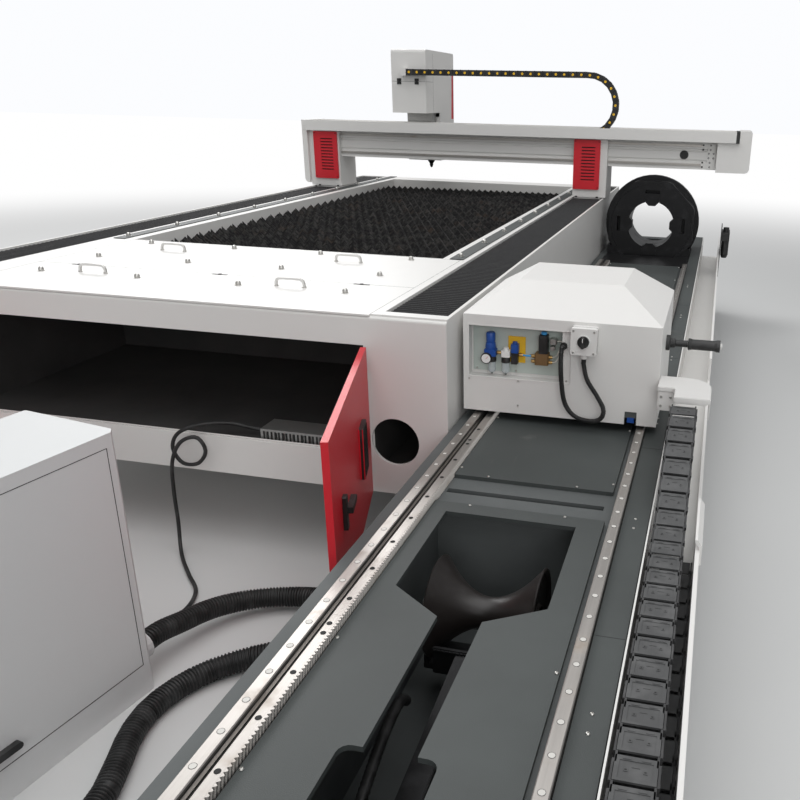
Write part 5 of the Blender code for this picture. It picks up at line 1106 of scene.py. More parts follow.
def slats():
    """Toothed slats of the cutting table: every other one set off by half a tooth, with cross bars."""
    teeth, spread, thick, notch = 31, 0.053, 0.003, SLAT_TOP - 0.022
    left, right = TABLE_LEFT + 0.01, TABLE_RIGHT - 0.01
    low, shoulder = SLAT_LOW + 0.005, SLAT_TOP - 0.016
    pitch = (right - left) / teeth
    count = int((TABLE_REAR - TABLE_FRONT - 0.03) / (2 * spread))
    for number in range(2):
        outline = [(left, low), (right, low), (right, shoulder)]
        for index in reversed(range(teeth)):
            root = left + index * pitch
            if number:
                outline += [(root + pitch * 0.54, notch), (root + 0.04 * pitch, SLAT_TOP)]
            else:
                outline += [(root + 0.5 * pitch, SLAT_TOP), (root, notch)]
        outline.append((left, shoulder))
        line = (count, (0, TABLE_FRONT + 0.015 + number * spread, 0), (0, 2 * spread, 0))
        shape = Form().prism(outline, "Y", 0.0, thick)
        item = rows(f"slats_{number + 1}", shape, "slat_steel", "base", [line])
        if number == 0:
            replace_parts(item, "slat_table")
    bars, length = Form(), (TABLE_FRONT, TABLE_REAR)
    for x in (TABLE_LEFT, TABLE_RIGHT - 0.025):
        bars.block((x, x + 0.025), length, (SLAT_LOW, SLAT_LOW + 0.06), 0.002)
    for index in range(1, 5):
        x = TABLE_LEFT + index * (TABLE_RIGHT - TABLE_LEFT) / 5
        bars.block((x - 0.003, x + 0.003), length, (low, SLAT_TOP - 0.03))
    bars.piece("slat_bars", "slat_steel", "base")


def bellows(name, channel, front, rear):
    """Pleated cloth cover, drawn down along its two edges."""
    pleat, crest, valley, thick, fold, margin = 0.026, 0.9395, 0.924, 0.0028, 0.0012, 0.0006
    count = round((rear - front) / pleat)
    step = (rear - front) / count
    top = []
    for index in range(count):
        y = front + index * step
        top += [
            (y, valley), (y + 0.4 * step, crest - fold), (y + 0.5 * step, crest), (y + 0.6 * step, crest - fold)
        ]
    top.append((rear, valley))
    outline = top + [(y, z - thick) for y, z in reversed(top)]
    x0, x1 = channel[0] + margin, channel[1] - margin
    edges = [
        (x0, 0.01), (x0 + 0.004, 0.002), (x0 + 0.01, 0.0), (x1 - 0.01, 0.0), (x1 - 0.004, 0.002), (x1, 0.01)
    ]
    form = Form().loft([[Vector((x, y, z - drop)) for y, z in outline] for x, drop in edges], caps=False)
    amount = len(outline)
    for first, flip in ((0, False), ((len(edges) - 1) * amount, True)):
        for index in range(len(top) - 1):
            face = [first + index, first + index + 1, first + amount - 2 - index, first + amount - 1 - index]
            form.faces.append(face[::-1] if flip else face)
    item = form.piece(f"{name}_cloth", "bellows_cloth", None)
    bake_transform(item)
    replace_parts(item, name)


def all_bellows():
    for side, channel in (("right", RIGHT_CHANNEL), ("left", LEFT_CHANNEL)):
        bellows(f"bellows_front_{side}", channel, 1.548, 5.09)
        bellows(f"bellows_rear_{side}", channel, 5.35, 5.993)


def cap_nut():
    """Domed cap nut on its washer."""
    washer = [(0.015, 0.0), (0.015, 0.0016), (0.0105, 0.0016), (0.0105, 0.0075)]
    dome = [(0.0098, 0.0015), (0.01, 0.0085), (0.0085, 0.0125), (0.0055, 0.0155), (0.0, 0.0168)]
    return Form().turned(washer, "Z", (0, 0, 0), 12).turned(dome, "Z", (0, 0, 0), 12)


def flat_latch():
    """Quarter-turn latch: a black oblong seat with a slotted button."""
    seat = [(-0.03, -0.006), (0.03, -0.006), (0.034, 0.0), (0.03, 0.006), (-0.03, 0.006), (-0.034, 0.0)]
    button = [(0.0075, 0.001), (0.0075, 0.0028), (0.0065, 0.0034), (0.0, 0.0034)]
    return Form().prism(seat, "Z", 0.0, 0.0012).turned(button, "Z", (0, 0, 0), 12)


def lids():
    """Nuts, latches, seams and bow handles of the lids, and the nuts of the long strips."""
    lines = [(4, (-1.81, y, BED_TOP), (0.4233, 0, 0)) for y in (1.76, 2.08, 2.43)]
    lines += [(9, (x, 2.56, STRIP_TOP), (0, 0.385, 0)) for x in (-0.355, -2.03)]
    rows("cap_nuts", cap_nut(), "bright_screw", "base", lines, smooth=40)
    lines = [(1, (x, 1.905, BED_TOP), (0, 0.1, 0)) for x in (-1.76, -1.13, -0.54)]
    rows("lid_latches", flat_latch(), "black_plastic", "base", lines)
    level, line = (BED_TOP - 0.0005, BED_TOP + 0.0002), 0.0012
    seam = Form().block((LID_LEFT, LID_RIGHT), (LID_SEAM - line / 2, LID_SEAM + line / 2), level)
    for x in (LID_LEFT - 0.001, LID_RIGHT):
        seam.block((x, x + line), (1.503, LID_REAR), level)
    seam.block((LID_LEFT, LID_RIGHT), (LID_REAR, LID_REAR + line), level)
    seam.piece("lid_seams", "dark_seam_and_shade", "base")
    foot = [(0.0085, BED_TOP), (0.0085, BED_TOP + 0.0035), (0.0062, BED_TOP + 0.005), (0.0, BED_TOP + 0.005)]
    rise = [(-BOW_REACH, 0.0), (-BOW_REACH, 0.014), (-0.052, 0.0245), (-0.042, 0.0295), (0.0, 0.0305)]
    bow = rise + [(-along, up) for along, up in reversed(rise[:-1])]
    feet, bows = Form(), Form()
    for y in (1.79, 2.295):
        for x in (-1.6025, -0.7705):
            for side in (-1, 1):
                feet.turned(foot, "Z", (x + side * BOW_REACH, y, 0), 12)
            bows.tube([Vector((x + along, y, BED_TOP + up)) for along, up in bow], 0.0052, 10)
    feet.piece("bow_feet", "bright_screw", "base", smooth=40)
    bows.piece("bow_grips", "bright_screw", "base", smooth=60)


def bay():
    """Vent slots of the power supply as dark strips of painted shade, and the folded lip of the bay's sill."""
    low, high = (Vector(corner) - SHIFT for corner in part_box("power_supply"))
    count, margin = 22, 0.01
    step = (high.x - low.x - 2 * margin) / count
    slots = Form()
    for index in range(count):
        x = low.x + margin + index * step
        slots.block((x, x + step * 0.5), (low.y - 0.0004, low.y + 0.0004), (low.z + 0.008, high.z - 0.008))
    slots.piece("supply_slots", "dark_seam_and_shade", "base")
    Form().block((-2.032, -0.362), (1.5025, 1.5045), (0.4505, 0.456)).piece("sill_lip", "white_paint", "base")


# Gantry, head and cross chain

TRAY_LEFT, TRAY_FRONT, TRAY_TOP = -2.33, 5.03, 1.4243
BEAM_FACE, BEAM_TOP, PORT_X, PORT_Z = 5.12, 1.35, 0.47, 1.262
HEAD_LEFT, HEAD_RIGHT, HEAD_FRONT, HEAD_REAR = -1.66, -1.4, 5.1, 5.75
CROSS_HEAD_X, CROSS_BEND_X, CROSS_FIXED_X = -1.53, -0.21, -0.59
CROSS_RADIUS, CROSS_LOWER, CROSS_PITCH, CROSS_SIZE = 0.195, 1.3766, 0.06, (0.05, 0.04)


def cross_route():
    """Middle line of the cross chain, from the head over its bend to the tray."""
    upper = CROSS_LOWER + 2 * CROSS_RADIUS
    middle = 5.071
    points = [Vector((CROSS_HEAD_X, middle, upper)), Vector((CROSS_BEND_X, middle, upper))]
    for step in range(1, 32):
        angle = math.pi / 2 - math.pi * step / 32
        x = CROSS_BEND_X + CROSS_RADIUS * math.cos(angle)
        points.append(Vector((x, middle, CROSS_LOWER + CROSS_RADIUS + CROSS_RADIUS * math.sin(angle))))
    return points + [Vector((CROSS_BEND_X, middle, CROSS_LOWER)), Vector((CROSS_FIXED_X, middle, CROSS_LOWER))]


def cross_cap(width, height, pitch):
    """Round cap on a link's pin, on the side that faces the front."""
    return Form().rod(0.0085, width / 2 - 0.001, width / 2 + 0.0022, "X", (0, -0.1 * pitch, 0), 12)


def cross_chain():
    """The gantry's drag chain: sides, covers and yellow caps, in an upper run, a bend and a lower run."""
    middle, turn = CROSS_LOWER + CROSS_RADIUS, CROSS_BEND_X
    shapes = (
        ("sides", link_sides, "black_plastic"), ("covers", link_cover, "black_plastic"),
        ("caps", cross_cap, "yellow_plastic"),
    )
    runs = (
        (
            "upper", lambda p: p.x <= turn and p.z > middle, at(2 * turn - CROSS_HEAD_X, 0, 0),
            at(CROSS_HEAD_X, 0, 0),
        ),
        ("bend", lambda p: p.x > turn, at(turn - HALF_WAY, 0, 0), at(turn + HALF_WAY, 0, 0)),
        (
            "lower", lambda p: p.x <= turn and p.z < middle, at(CROSS_FIXED_X, 0, 0),
            at(2 * turn - CROSS_FIXED_X, 0, 0),
        ),
    )
    chain_runs(
        "cross", runs, shapes, CROSS_SIZE, walk(cross_route(), CROSS_PITCH), Vector((0, -1, 0)), "x_chain",
    )


def bolt(radius, height):
    """Socket head bolt."""
    hollow, bottom = radius * 0.5, height * 0.4
    profile = [
        (radius, 0.0), (radius, height * 0.85), (radius * 0.9, height), (hollow, height), (hollow, bottom),
        (0.0, bottom),
    ]
    return Form().turned(profile, "Y", (0, 0, 0), 12)


def facing_front(form):
    """Turn a form made along +Y so that it faces -Y."""
    turned = Form()
    turned.points = [Vector((-point.x, -point.y, point.z)) for point in form.points]
    turned.faces = form.faces
    return turned


def gantry_details():
    """Band of the tray's end, bolts, clamp, port and rails of the beam, and screws of the covers and legs."""
    band = Form().block((0.812, 0.8352), (TRAY_FRONT - 0.0008, TRAY_FRONT + 0.004), (1.35, TRAY_TOP + 0.0006))
    band.block((0.812, 0.8352), (TRAY_FRONT + 0.004, 5.31), (TRAY_TOP - 0.001, TRAY_TOP + 0.0006))
    band.piece("tray_end_band", "black_plastic", "gantry")
    lines = [(2, (0.598, BEAM_FACE, z), (0.05, 0, 0)) for z in (1.185, 1.215, 1.3, 1.33)]
    lines += [(2, (0.638, BEAM_FACE, z), (0.032, 0, 0)) for z in (1.245, 1.275)]
    rows("beam_bolts", facing_front(bolt(0.006, 0.004)), "black_steel", "gantry", lines)
    plate = Form().block((0.628, 0.688), (BEAM_FACE - 0.003, BEAM_FACE - 0.0002), (1.172, 1.34), 0.001)
    plate.piece("beam_clamp", "white_paint", "gantry", bevel=0.0008)
    port = [(0.0, 0.0), (0.03, 0.0), (0.03, -0.0035), (0.0, -0.0035)]
    port = Form().turned(port, "Y", (PORT_X, BEAM_FACE, PORT_Z), 24)
    port.piece("beam_port", "black_plastic", "gantry")
    # Dark strips of painted shade for the slots of the port
    slots = Form()
    for index in range(5):
        x = PORT_X + (index - 2) * 0.01
        reach = math.sqrt(0.026**2 - (x - PORT_X) ** 2)
        slots.block(
            (x - 0.0022, x + 0.0022), (BEAM_FACE - 0.004, BEAM_FACE - 0.0034), (PORT_Z - reach, PORT_Z + reach)
        )
    slots.piece("beam_port_slots", "dark_seam_and_shade", "gantry")
    rail = Form()
    for low, high in ((1.19, 1.205), (1.318, 1.333)):
        rail.block((-2.29, 0.59), (BEAM_FACE - 0.0085, BEAM_FACE - 0.0002), (low, high))
    rail.piece("cross_rails", "ground_steel", "gantry", bevel=0.0012)
    lines = [(2, (x, 5.066, z), (0.168, 0, 0)) for x in (-0.288, -2.28) for z in (1.018, 1.332)]
    rows("vent_screws", facing_front(bolt(0.0038, 0.002)), "black_steel", "gantry", lines)
    head = Form().turned([(0.009, 0), (0.009, 0.006), (0.007, 0.008), (0, 0.008)], "Z", (0, 0, 0), 6)
    lines = [(2, (x, 5.065, 0.9495), (0.15, 0, 0)) for x in (-0.27, -2.26)]
    rows("leg_bolts", head, "black_steel", "gantry", lines)


def head_details():
    """Red stripes, latches and seams of the head's housing."""
    near, far, low, high = HEAD_REAR - 0.062, HEAD_REAR - 0.012, 1.44, 1.78
    outline = [(near, low), (far, low), (far, high), (HEAD_REAR - 0.03, 1.79), (HEAD_REAR - 0.046, high)]
    for name, start, end in (
        ("right", HEAD_RIGHT - 0.0005, HEAD_RIGHT + 0.0015), ("left", HEAD_LEFT - 0.0015, HEAD_LEFT + 0.0005),
    ):
        stripe = Form().prism(outline, "X", start, end)
        stripe.piece(f"head_stripe_{name}", "red_paint", "head", bevel=0.0005)
    latch = Form()
    for x in (-1.602, -1.468):
        for z in (1.694, 1.716):
            latch.block(
                (x - 0.016, x + 0.016), (HEAD_FRONT - 0.006, HEAD_FRONT - 0.0001), (z - 0.009, z + 0.009), 0.002
            )
        latch.block((x - 0.01, x + 0.01), (HEAD_FRONT - 0.009, HEAD_FRONT - 0.005), (1.699, 1.711), 0.002)
    latch.piece("head_latches", "black_plastic", "head", bevel=0.0008)
    line, seam_rear, level = 0.0003, HEAD_FRONT + 0.16, (1.7042, 1.7058)
    seam = Form().block((HEAD_LEFT + 0.002, HEAD_RIGHT - 0.002), (HEAD_FRONT - line, HEAD_FRONT + line), level)
    for x in (HEAD_LEFT, HEAD_RIGHT):
        seam.block((x - line, x + line), (HEAD_FRONT + 0.002, seam_rear), level)
    seam.block((HEAD_RIGHT - line, HEAD_RIGHT + line), (seam_rear, seam_rear + 0.0012), (1.495, 1.9))
    seam.piece("head_seams", "dark_seam_and_shade", "head")


# Rear chuck: hood and air panel

RECESS_BACK, PAN_FRONT = 1.6563, 1.6063
PAN_LEFT, PAN_RIGHT, PAN_LOW, PAN_HIGH, PAN_WALL = -0.04, 0.325, 0.723, 0.918, 0.0035
AIR_DEPTH = 1.634
KNOB_X, BOX_REAR = 0.361, 1.5775


def air_pan():
    """Pan behind the recess, with its plate and screws."""
    pan, wide, high = Form(), (PAN_LEFT, PAN_RIGHT), (PAN_LOW, PAN_HIGH)
    inner, right_wall = (PAN_LEFT + PAN_WALL, PAN_RIGHT - PAN_WALL), PAN_RIGHT - PAN_WALL
    pan.block(wide, (RECESS_BACK, RECESS_BACK + 0.004), high)
    for x in (PAN_LEFT, right_wall):
        pan.block((x, x + PAN_WALL), (PAN_FRONT, RECESS_BACK), high)
    for z in (PAN_LOW, PAN_HIGH - PAN_WALL):
        pan.block(inner, (PAN_FRONT, RECESS_BACK), (z, z + PAN_WALL))
    pan.block((0.284, right_wall), (PAN_FRONT, PAN_FRONT + 0.0018), (PAN_LOW + PAN_WALL, PAN_HIGH - PAN_WALL))
    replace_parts(pan.piece("air_pan", "white_paint", "rear_chuck"), "air_panel")
    plate = Form().block((-0.03, 0.28), (RECESS_BACK - 0.003, RECESS_BACK - 0.0003), (0.738, 0.905), 0.002)
    plate.piece("panel_plate", "plate_green", "rear_chuck", slot="white_paint")
    places = [(-0.018, 0.744), (0.12, 0.744), (0.27, 0.744), (0.27, 0.896), (0.12, 0.896), (-0.018, 0.896)]
    lines = [(1, (x, RECESS_BACK - 0.003, z), (0.1, 0, 0)) for x, z in places]
    places = ((0.303, 0.742), (0.14, 0.64), (-0.03, 0.722), (0.14, 0.727))
    lines += [(1, (x, HOOD_FACE - 0.0001, z), (0.1, 0, 0)) for x, z in places]
    rows("panel_screws", facing_front(bolt(0.0035, 0.002)), "bright_screw", "rear_chuck", lines)


def air_parts():
    """Regulator, gauge, two filter bowls, valve with its solenoid, fittings, tube and leads on the plate."""
    blue = Form()
    body = [
        (0.0, 0.82), (0.016, 0.82), (0.0185, 0.828), (0.016, 0.844), (0.013, 0.846), (0.015, 0.848),
        (0.016, 0.874), (0.013, 0.88), (0.0, 0.88),
    ]
    blue.turned(body, "Z", (0.036, 1.633, 0), 20)
    blue.block((0.016, 0.056), (1.616, 1.65), (0.798, 0.822), 0.004)
    blue.block((0.106, 0.132), (1.624, 1.65), (0.814, 0.844), 0.004)
    blue.rod(0.0085, 0.844, 0.852, "Z", (0.119, 1.636, 0), 14)
    blue.piece("air_regulator", "blue_plastic", "rear_chuck", bevel=0.001, smooth=40)
    gauge_place = (0.026, 0, 0.793)
    case = [
        (0.0, 1.608), (0.0185, 1.608), (0.019, 1.6095), (0.019, 1.618), (0.006, 1.62), (0.006, 1.632),
        (0.0, 1.632),
    ]
    Form().turned(case, "Y", gauge_place, 24).piece("gauge_case", "black_plastic", "rear_chuck", smooth=40)
    Form().rod(0.0155, 1.6074, 1.6082, "Y", gauge_place, 24).piece("gauge_dial", "pale_face", "rear_chuck")
    needle = Form().prism(
        [(0.025, 0.792), (0.027, 0.7925), (0.0345, 0.8015), (0.034, 0.802)], "Y", 1.607, 1.6074
    )
    needle.piece("gauge_needle", "red_paint", "rear_chuck")
    bowls, collars = Form(), Form()
    bowl = [(0.0, 0.739), (0.007, 0.739), (0.0125, 0.744), (0.0135, 0.749), (0.0135, 0.778), (0.0, 0.778)]
    collar = [(0.0, 0.778), (0.015, 0.778), (0.015, 0.79), (0.013, 0.798), (0.0, 0.798)]
    for x in (0.04, 0.088):
        place = (x, AIR_DEPTH, 0)
        bowls.turned(bowl, "Z", place, 18)
        collars.turned(collar, "Z", place, 18).rod(0.004, 0.7345, 0.739, "Z", place, 10)
    bowls.piece("filter_bowls", "bowl", "rear_chuck", slot="black_plastic", smooth=40)
    collars.block((0.108, 0.13), (1.622, 1.648), (0.776, 0.814), 0.003)
    collars.block((0.203, 0.232), (1.616, 1.65), (0.822, 0.884), 0.003)
    collars.rod(0.012, 1.599, 1.653, "Y", (0.29, 0, 0.86), 18)
    collars.piece("air_black_parts", "black_plastic", "rear_chuck", bevel=0.0008, smooth=40)
    pale = Form().block((0.074, 0.104), (1.62, 1.649), (0.798, 0.82), 0.003)
    pale.rod(0.009, 0.82, 0.83, "Z", (0.089, AIR_DEPTH, 0), 14)
    pale.piece("filter_body", "pale_face", "rear_chuck", bevel=0.0008)
    yellow = Form().block((0.092, 0.152), (1.649, 1.653), (0.776, 0.866), 0.002)
    yellow.piece("yellow_plate", "yellow_plastic", "rear_chuck", slot="black_plastic")
    bronze = Form().block((0.19, 0.236), (1.617, 1.652), (0.782, 0.822), 0.003)
    bronze.piece("valve_block", "bronze", "rear_chuck", slot="bare_metal", bevel=0.001)
    brass = Form()
    for x, z in ((0.183, 0.808), (0.183, 0.79), (0.24, 0.808), (0.24, 0.79), (0.064, 0.81), (0.14, 0.808)):
        nut = [
            (0.0, x - 0.0075), (0.005, x - 0.0075), (0.0062, x - 0.004), (0.0062, x + 0.004),
            (0.005, x + 0.0075),
            (0.0, x + 0.0075),
        ]
        brass.turned(nut, "X", (0, AIR_DEPTH, z), 8)
    brass.piece("air_fittings", "brass", "rear_chuck", slot="bare_metal")
    plug_form = Form().block((0.24, 0.262), (1.62, 1.648), (0.856, 0.874), 0.002)
    plug_form.block((0.24, 0.256), (1.622, 1.646), (0.834, 0.848), 0.002)
    plug_form.piece("valve_plug", "bright_screw", "rear_chuck", slot="bare_metal", bevel=0.001)
    cap = [(0.0, 0.886), (0.01, 0.886), (0.01, 0.893), (0.008, 0.895), (0.0, 0.895)]
    cap = Form().turned(cap, "Z", (0.2175, 1.633, 0), 18)
    cap.piece("solenoid_cap", "light_blue", "rear_chuck", slot="black_plastic", smooth=40)
    bend = [Vector((0.146, 1.633, 0.808)), Vector((0.162, 1.631, 0.8075)), Vector((0.178, AIR_DEPTH, 0.808))]
    tube = Form().tube(bend, 0.0032, 8)
    tube.piece("air_tube", "light_blue", "rear_chuck", slot="black_plastic", smooth=60)
    leads = Form()
    for stops in (
        [(0.246, AIR_DEPTH, 0.808), (0.262, 1.63, 0.816), (0.276, 1.625, 0.846), (0.288, 1.615, 0.858)],
        [(0.246, AIR_DEPTH, 0.79), (0.264, 1.628, 0.8), (0.28, 1.623, 0.838), (0.291, 1.615, 0.857)],
        [(0.262, AIR_DEPTH, 0.865), (0.274, 1.628, 0.868), (0.286, 1.62, 0.864), (0.29, 1.61, 0.862)],
    ):
        leads.tube(smooth_route(stops, 14), 0.0022, 8)
    leads.piece("panel_leads", "pale_lead", "rear_chuck", slot="black_plastic", smooth=60)


def hood_details():
    """Rim of the recess, screws and seam of the switch box, knob's mark and ring, connector, bracket's web."""
    rim, left, right, low, high, wide = Form(), -0.034, 0.319, 0.729, 0.912, 0.004
    for x, z in (
        ((left, left + wide), (low, high)), ((right - wide, right), (low, high)),
        ((left + wide, right - wide), (low, low + wide)), ((left + wide, right - wide), (high - wide, high)),
    ):
        rim.block(x, (HOOD_FACE - 0.0006, HOOD_FACE + 0.006), z)
    rim.piece("recess_rim", "white_paint", "rear_chuck")
    lines = [(2, (0.328, 1.556, z), (0.066, 0, 0)) for z in (0.8555, 0.9265)]
    rows("box_screws", facing_front(bolt(0.0036, 0.0022)), "bright_screw", "rear_chuck", lines)
    seam, depth, line = Form(), (BOX_REAR, BOX_REAR + 0.001), 0.0003
    for z in (0.847, 0.935):
        seam.block((0.32, 0.402), depth, (z - line, z + line))
    for x in (0.319, 0.403):
        seam.block((x - line, x + line), depth, (0.852, 0.93))
    seam.piece("box_seam", "dark_seam_and_shade", "rear_chuck")
    mark = Form().prism([(0.36, 0.896), (0.3622, 0.896), (0.3622, 0.9095), (0.36, 0.9095)], "Y", 1.531, 1.5317)
    mark.piece("knob_mark", "pale_face", "selector_knob")
    ring = [(0.0192, 1.5537), (0.0225, 1.5537), (0.0225, 1.5558), (0.0192, 1.5558)]
    Form().turned(ring, "Y", (KNOB_X, 0, 0.893), 24).piece("knob_ring", "pale_face", "rear_chuck")
    connector = Form().block((0.508, 0.532), (1.606, 1.626), (0.614, 0.634), 0.002)
    connector.piece("notch_connector", "blue_plastic", "rear_chuck", bevel=0.001)
    stem = Form().block((0.512, 0.528), (1.608, 1.624), (0.634, 0.654), 0.002)
    stem.piece("notch_stem", "bright_screw", "rear_chuck", bevel=0.0008)
    web = Form().block((0.606, 0.65), (1.618, 1.6202), (0.67, 0.744))
    web.piece("bracket_web", "bare_metal", "rear_chuck")


# Doors

DOOR_FACE = 1.468
# Name, hinge, side to which the door reaches when shut, and its opening at rest in degrees
BAY_DOORS = (
    ("right", Vector((-0.354, 1.478, 0.0)), -1, 106.9),
    ("left", Vector((-2.04, 1.478, 0.0)), 1, -106.9),
)


def hung(hinge, degrees):
    """Turn about an upright hinge."""
    turn = Matrix.Rotation(math.radians(degrees), 4, "Z")
    return Matrix.Translation(hinge) @ turn @ Matrix.Translation(-hinge)


def latch_plates():
    """Black grille plate of each bay door, made on the shut door and swung open with it."""
    ribs = 12
    for name, hinge, side, degrees in BAY_DOORS:
        plate = Form()
        near, far = sorted((hinge.x + side * 0.2044, hinge.x + side * 0.2956))
        plate.block((near, far), (DOOR_FACE - 0.0146, DOOR_FACE - 0.0003), (0.4994, 0.6656), 0.004)
        for index in range(ribs):
            x = near + 0.008 + index * (far - near - 0.019) / (ribs - 1)
            plate.block((x, x + 0.003), (DOOR_FACE - 0.0164, DOOR_FACE - 0.014), (0.508, 0.657))
        turned = Form().join(plate, hung(hinge, degrees))
        turned.piece(f"latch_grille_{name}", "black_plastic", f"bay_door_{name}", bevel=0.0006)


def cabinet_details():
    """Seams round the cabinet's door and under its roof."""
    form = Form()
    corner = Vector((*CABINET_CORNER, 0.0))
    turn = Matrix.Translation(corner) @ Matrix.Rotation(CABINET_TURN, 4, "Z")
    low, high = -CABINET_WIDTH + 0.038, -0.038
    for y, z in (
        ((low - 0.001, low + 0.001), (0.094, 0.758)), ((high - 0.001, high + 0.001), (0.094, 0.758)),
        ((low, high), (0.0935, 0.0953)), ((low, high), (0.7565, 0.7583)),
    ):
        form.block((-0.001, 0.0004), y, z)
    form.block(
        (-CABINET_DEPTH + 0.004, -0.004), (-CABINET_WIDTH - 0.0003, -CABINET_WIDTH + 0.0005), (0.742, 0.7432)
    )
    Form().join(form, turn).piece("cabinet_seams", "dark_seam_and_shade", "base")


# Support roller and lift arm

ARM_PIVOT = Vector((0.282, 0.06, 0.3))
ROLLER = Vector((0.282, 0.72, 0.43))


def roller_look():
    """Deep hourglass roller with rounded rims and hubs."""
    half, flange, throat, steps = 0.132, 0.126, 0.038, 40
    hub = [(0.03, half - 0.012), (0.034, half - 0.004), (0.04, half - 0.012)]
    rim = [(flange - 0.012, half - 0.01), (flange - 0.006, half), (flange - 0.002, half - 0.001)]
    profile = [(0.0, -half + 0.012)] + [(radius, -along) for radius, along in hub + rim]
    for step in range(steps + 1):
        share = 2 * step / steps - 1
        profile.append((throat + (flange - throat) * abs(share) ** 1.9, share * (half - 0.004)))
    profile += (hub + rim)[::-1] + [(0.0, half - 0.012)]
    form = Form().turned(
        [(radius, ROLLER.x + along) for radius, along in profile], "X", (0, ROLLER.y, ROLLER.z), 64
    )
    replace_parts(form.piece("roller_look", "roller_coating", "roller", smooth=40), "roller")


def arm_look():
    """Square tube arm with a cross plate, a tray and two ears for the roller, the axle and the pivot pin."""
    left, right = 0.2395, 0.2925
    plate_left, plate_right = 0.182, 0.382
    tray_left, tray_right, ear = 0.128, 0.436, 0.011
    form = Form().prism([(0.022, 0.268), (0.59, 0.345), (0.59, 0.399), (0.022, 0.33)], "X", left, right)
    form.block((plate_left, plate_right), (0.585, 0.597), (0.335, 0.405))
    brace = [(0.59, 0.335), (0.6, 0.335), (0.672, 0.288), (0.672, 0.276), (0.662, 0.276)]
    form.prism(brace, "X", plate_left, plate_right)
    form.block((tray_left, tray_right), (0.67, 0.77), (0.274, 0.292))
    outline = [(0.67, 0.283), (0.77, 0.283), (0.752, 0.452), (0.742, 0.46), (0.698, 0.46), (0.688, 0.452)]
    for x in (tray_left, tray_right - ear):
        form.prism(outline, "X", x, x + ear)
    form.prism([(0.47, 0.384), (0.586, 0.399), (0.586, 0.345), (0.53, 0.337)], "X", 0.296, 0.304)
    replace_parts(form.piece("lift_arm_look", "black_steel", "lift_arm", bevel=0.002), "lift_arm")
    pins, axle, pivot = Form(), (0, ROLLER.y, ROLLER.z), (0, ARM_PIVOT.y, ARM_PIVOT.z)
    for low, high in ((0.116, 0.124), (0.44, 0.448)):
        nut = [
            (0.0, low), (0.017, low), (0.019, low + 0.001), (0.019, high - 0.001), (0.017, high), (0.0, high)
        ]
        pins.turned(nut, "X", axle, 6)
    pins.rod(0.012, 0.124, 0.44, "X", axle, 16)
    low, high = ARM_PIVOT.x - 0.0665, ARM_PIVOT.x + 0.0665
    pin = [(0.0, low), (0.013, low), (0.014, low + 0.001), (0.014, high - 0.001), (0.013, high), (0.0, high)]
    pins.turned(pin, "X", pivot, 16)
    pins.piece("arm_pins", "bare_metal", "lift_arm", smooth=40)
    beads = Form()
    for index in range(21):
        x = plate_left + 0.003 + index * 0.0093
        beads.block((x, x + 0.0085), (0.5815, 0.5855), (0.3985 + 0.0008 * (index % 2), 0.403), 0.0012)
    for index in range(7):
        x = left + 0.002 + index * 0.0072
        beads.block((x, x + 0.0066), (0.0195, 0.0235), (0.3285, 0.3318 + 0.0006 * (index % 2)), 0.001)
    beads.piece("arm_weld_beads", "black_steel", "lift_arm", bevel=0.0008)


def pocket_hose():
    """Ringed air hose that runs beside the arm in the pocket."""
    stops = [
        (0.19, 0.03, 0.32), (0.188, 0.16, 0.372), (0.176, 0.3, 0.395), (0.16, 0.43, 0.372),
        (0.14, 0.52, 0.3),
    ]
    route = smooth_route(stops, 90)
    radii = [0.0125 if index % 2 else 0.0105 for index in range(len(route))]
    Form().tube(route, radii, 12).piece("pocket_hose", "hose_rubber", "base", smooth=50)


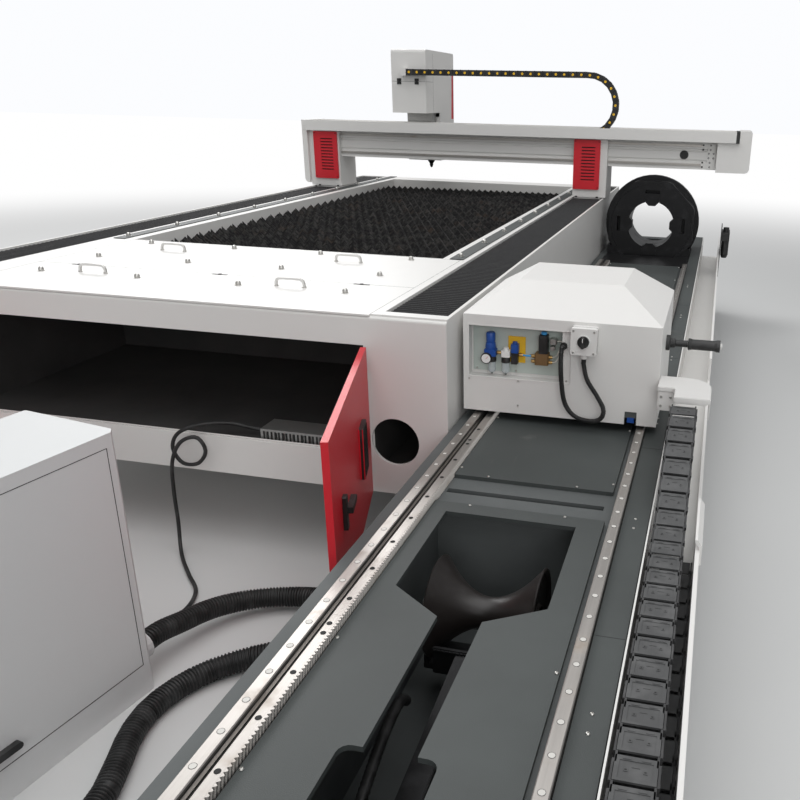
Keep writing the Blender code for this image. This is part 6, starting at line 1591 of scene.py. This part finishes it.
def handle_shaft():
    """Black sleeve and hub on the handle's shaft."""
    hub, sleeve, bore = 0.0268, 0.0165, 0.0118
    profile = [
        (bore, 0.0), (hub, 0.0), (hub, 0.012), (0.024, 0.0145), (sleeve, 0.015), (sleeve, 0.03), (bore, 0.032),
        (bore, 0.0735),
    ]
    profile = [(radius, HOOD_SIDE + along) for radius, along in profile]
    form = Form().turned(profile, "X", (0, HOOD_FACE + 0.25, 0.83), 20, caps=False)
    form.piece("handle_sleeve", "black_plastic", "rear_chuck", smooth=40)


def vents():
    """Dark sheets of painted shade behind the slots in the two red covers."""
    form, count, pitch = Form(), 11, 0.022
    for low, high in ((-0.298, -0.11), (TRAY_LEFT + 0.04, TRAY_LEFT + 0.228)):
        for index in range(count):
            z = BEAM_TOP - 0.04 - (count - index) * pitch
            form.block((low + 0.0555, high - 0.0355), (5.0733, 5.0739), (z + 0.0003, z + 0.0077))
    form.piece("vent_slot_backs", "dark_seam_and_shade", "gantry")


def bracket_look():
    """Folded bracket over the chain's carried end, round at its outer rear corner."""
    top, thick, edge, radius = 0.7753, 0.016, 0.77, 0.08
    middle = (edge - radius, 1.565)
    turns = [math.pi * step / 24 for step in range(13)]
    corner = [(middle[0] + radius * math.cos(a), middle[1] + radius * math.sin(a)) for a in turns]
    outline = [(0.66, 1.4465), (edge, 1.4465), *corner, (HOOD_SIDE, 1.645), (HOOD_SIDE, 1.53), (0.652, 1.53)]
    form = Form().prism([*outline, (0.66, 1.52)], "Z", top - thick, top)
    form.block((0.7655, 0.7695), (1.447, 1.56), (0.71, top - 0.004))
    form.block((0.6062, 0.66), (1.532, 1.635), (0.696, top - 0.01), 0.003)
    form.block((0.664, 0.76), (1.448, 1.5), (0.7536, top - 0.01))
    item = form.piece("chain_bracket_look", "white_paint", "rear_chuck", bevel=0.002, smooth=40)
    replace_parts(item, "chain_bracket")
    lines = [(2, (0.618, 1.532, z), (0.03, 0, 0)) for z in (0.712, 0.742)]
    rows("bracket_screws", facing_front(bolt(0.0042, 0.0025)), "bright_screw", "rear_chuck", lines)


set_camera()
set_studio()
paint_nodes()
cords()
rack()
rails()
deck_screws()
drag_chain()
slats()
all_bellows()
lids()
bay()
cross_chain()
gantry_details()
head_details()
air_pan()
air_parts()
hood_details()
latch_plates()
cabinet_details()
roller_look()
arm_look()
pocket_hose()
handle_shaft()
vents()
bracket_look()
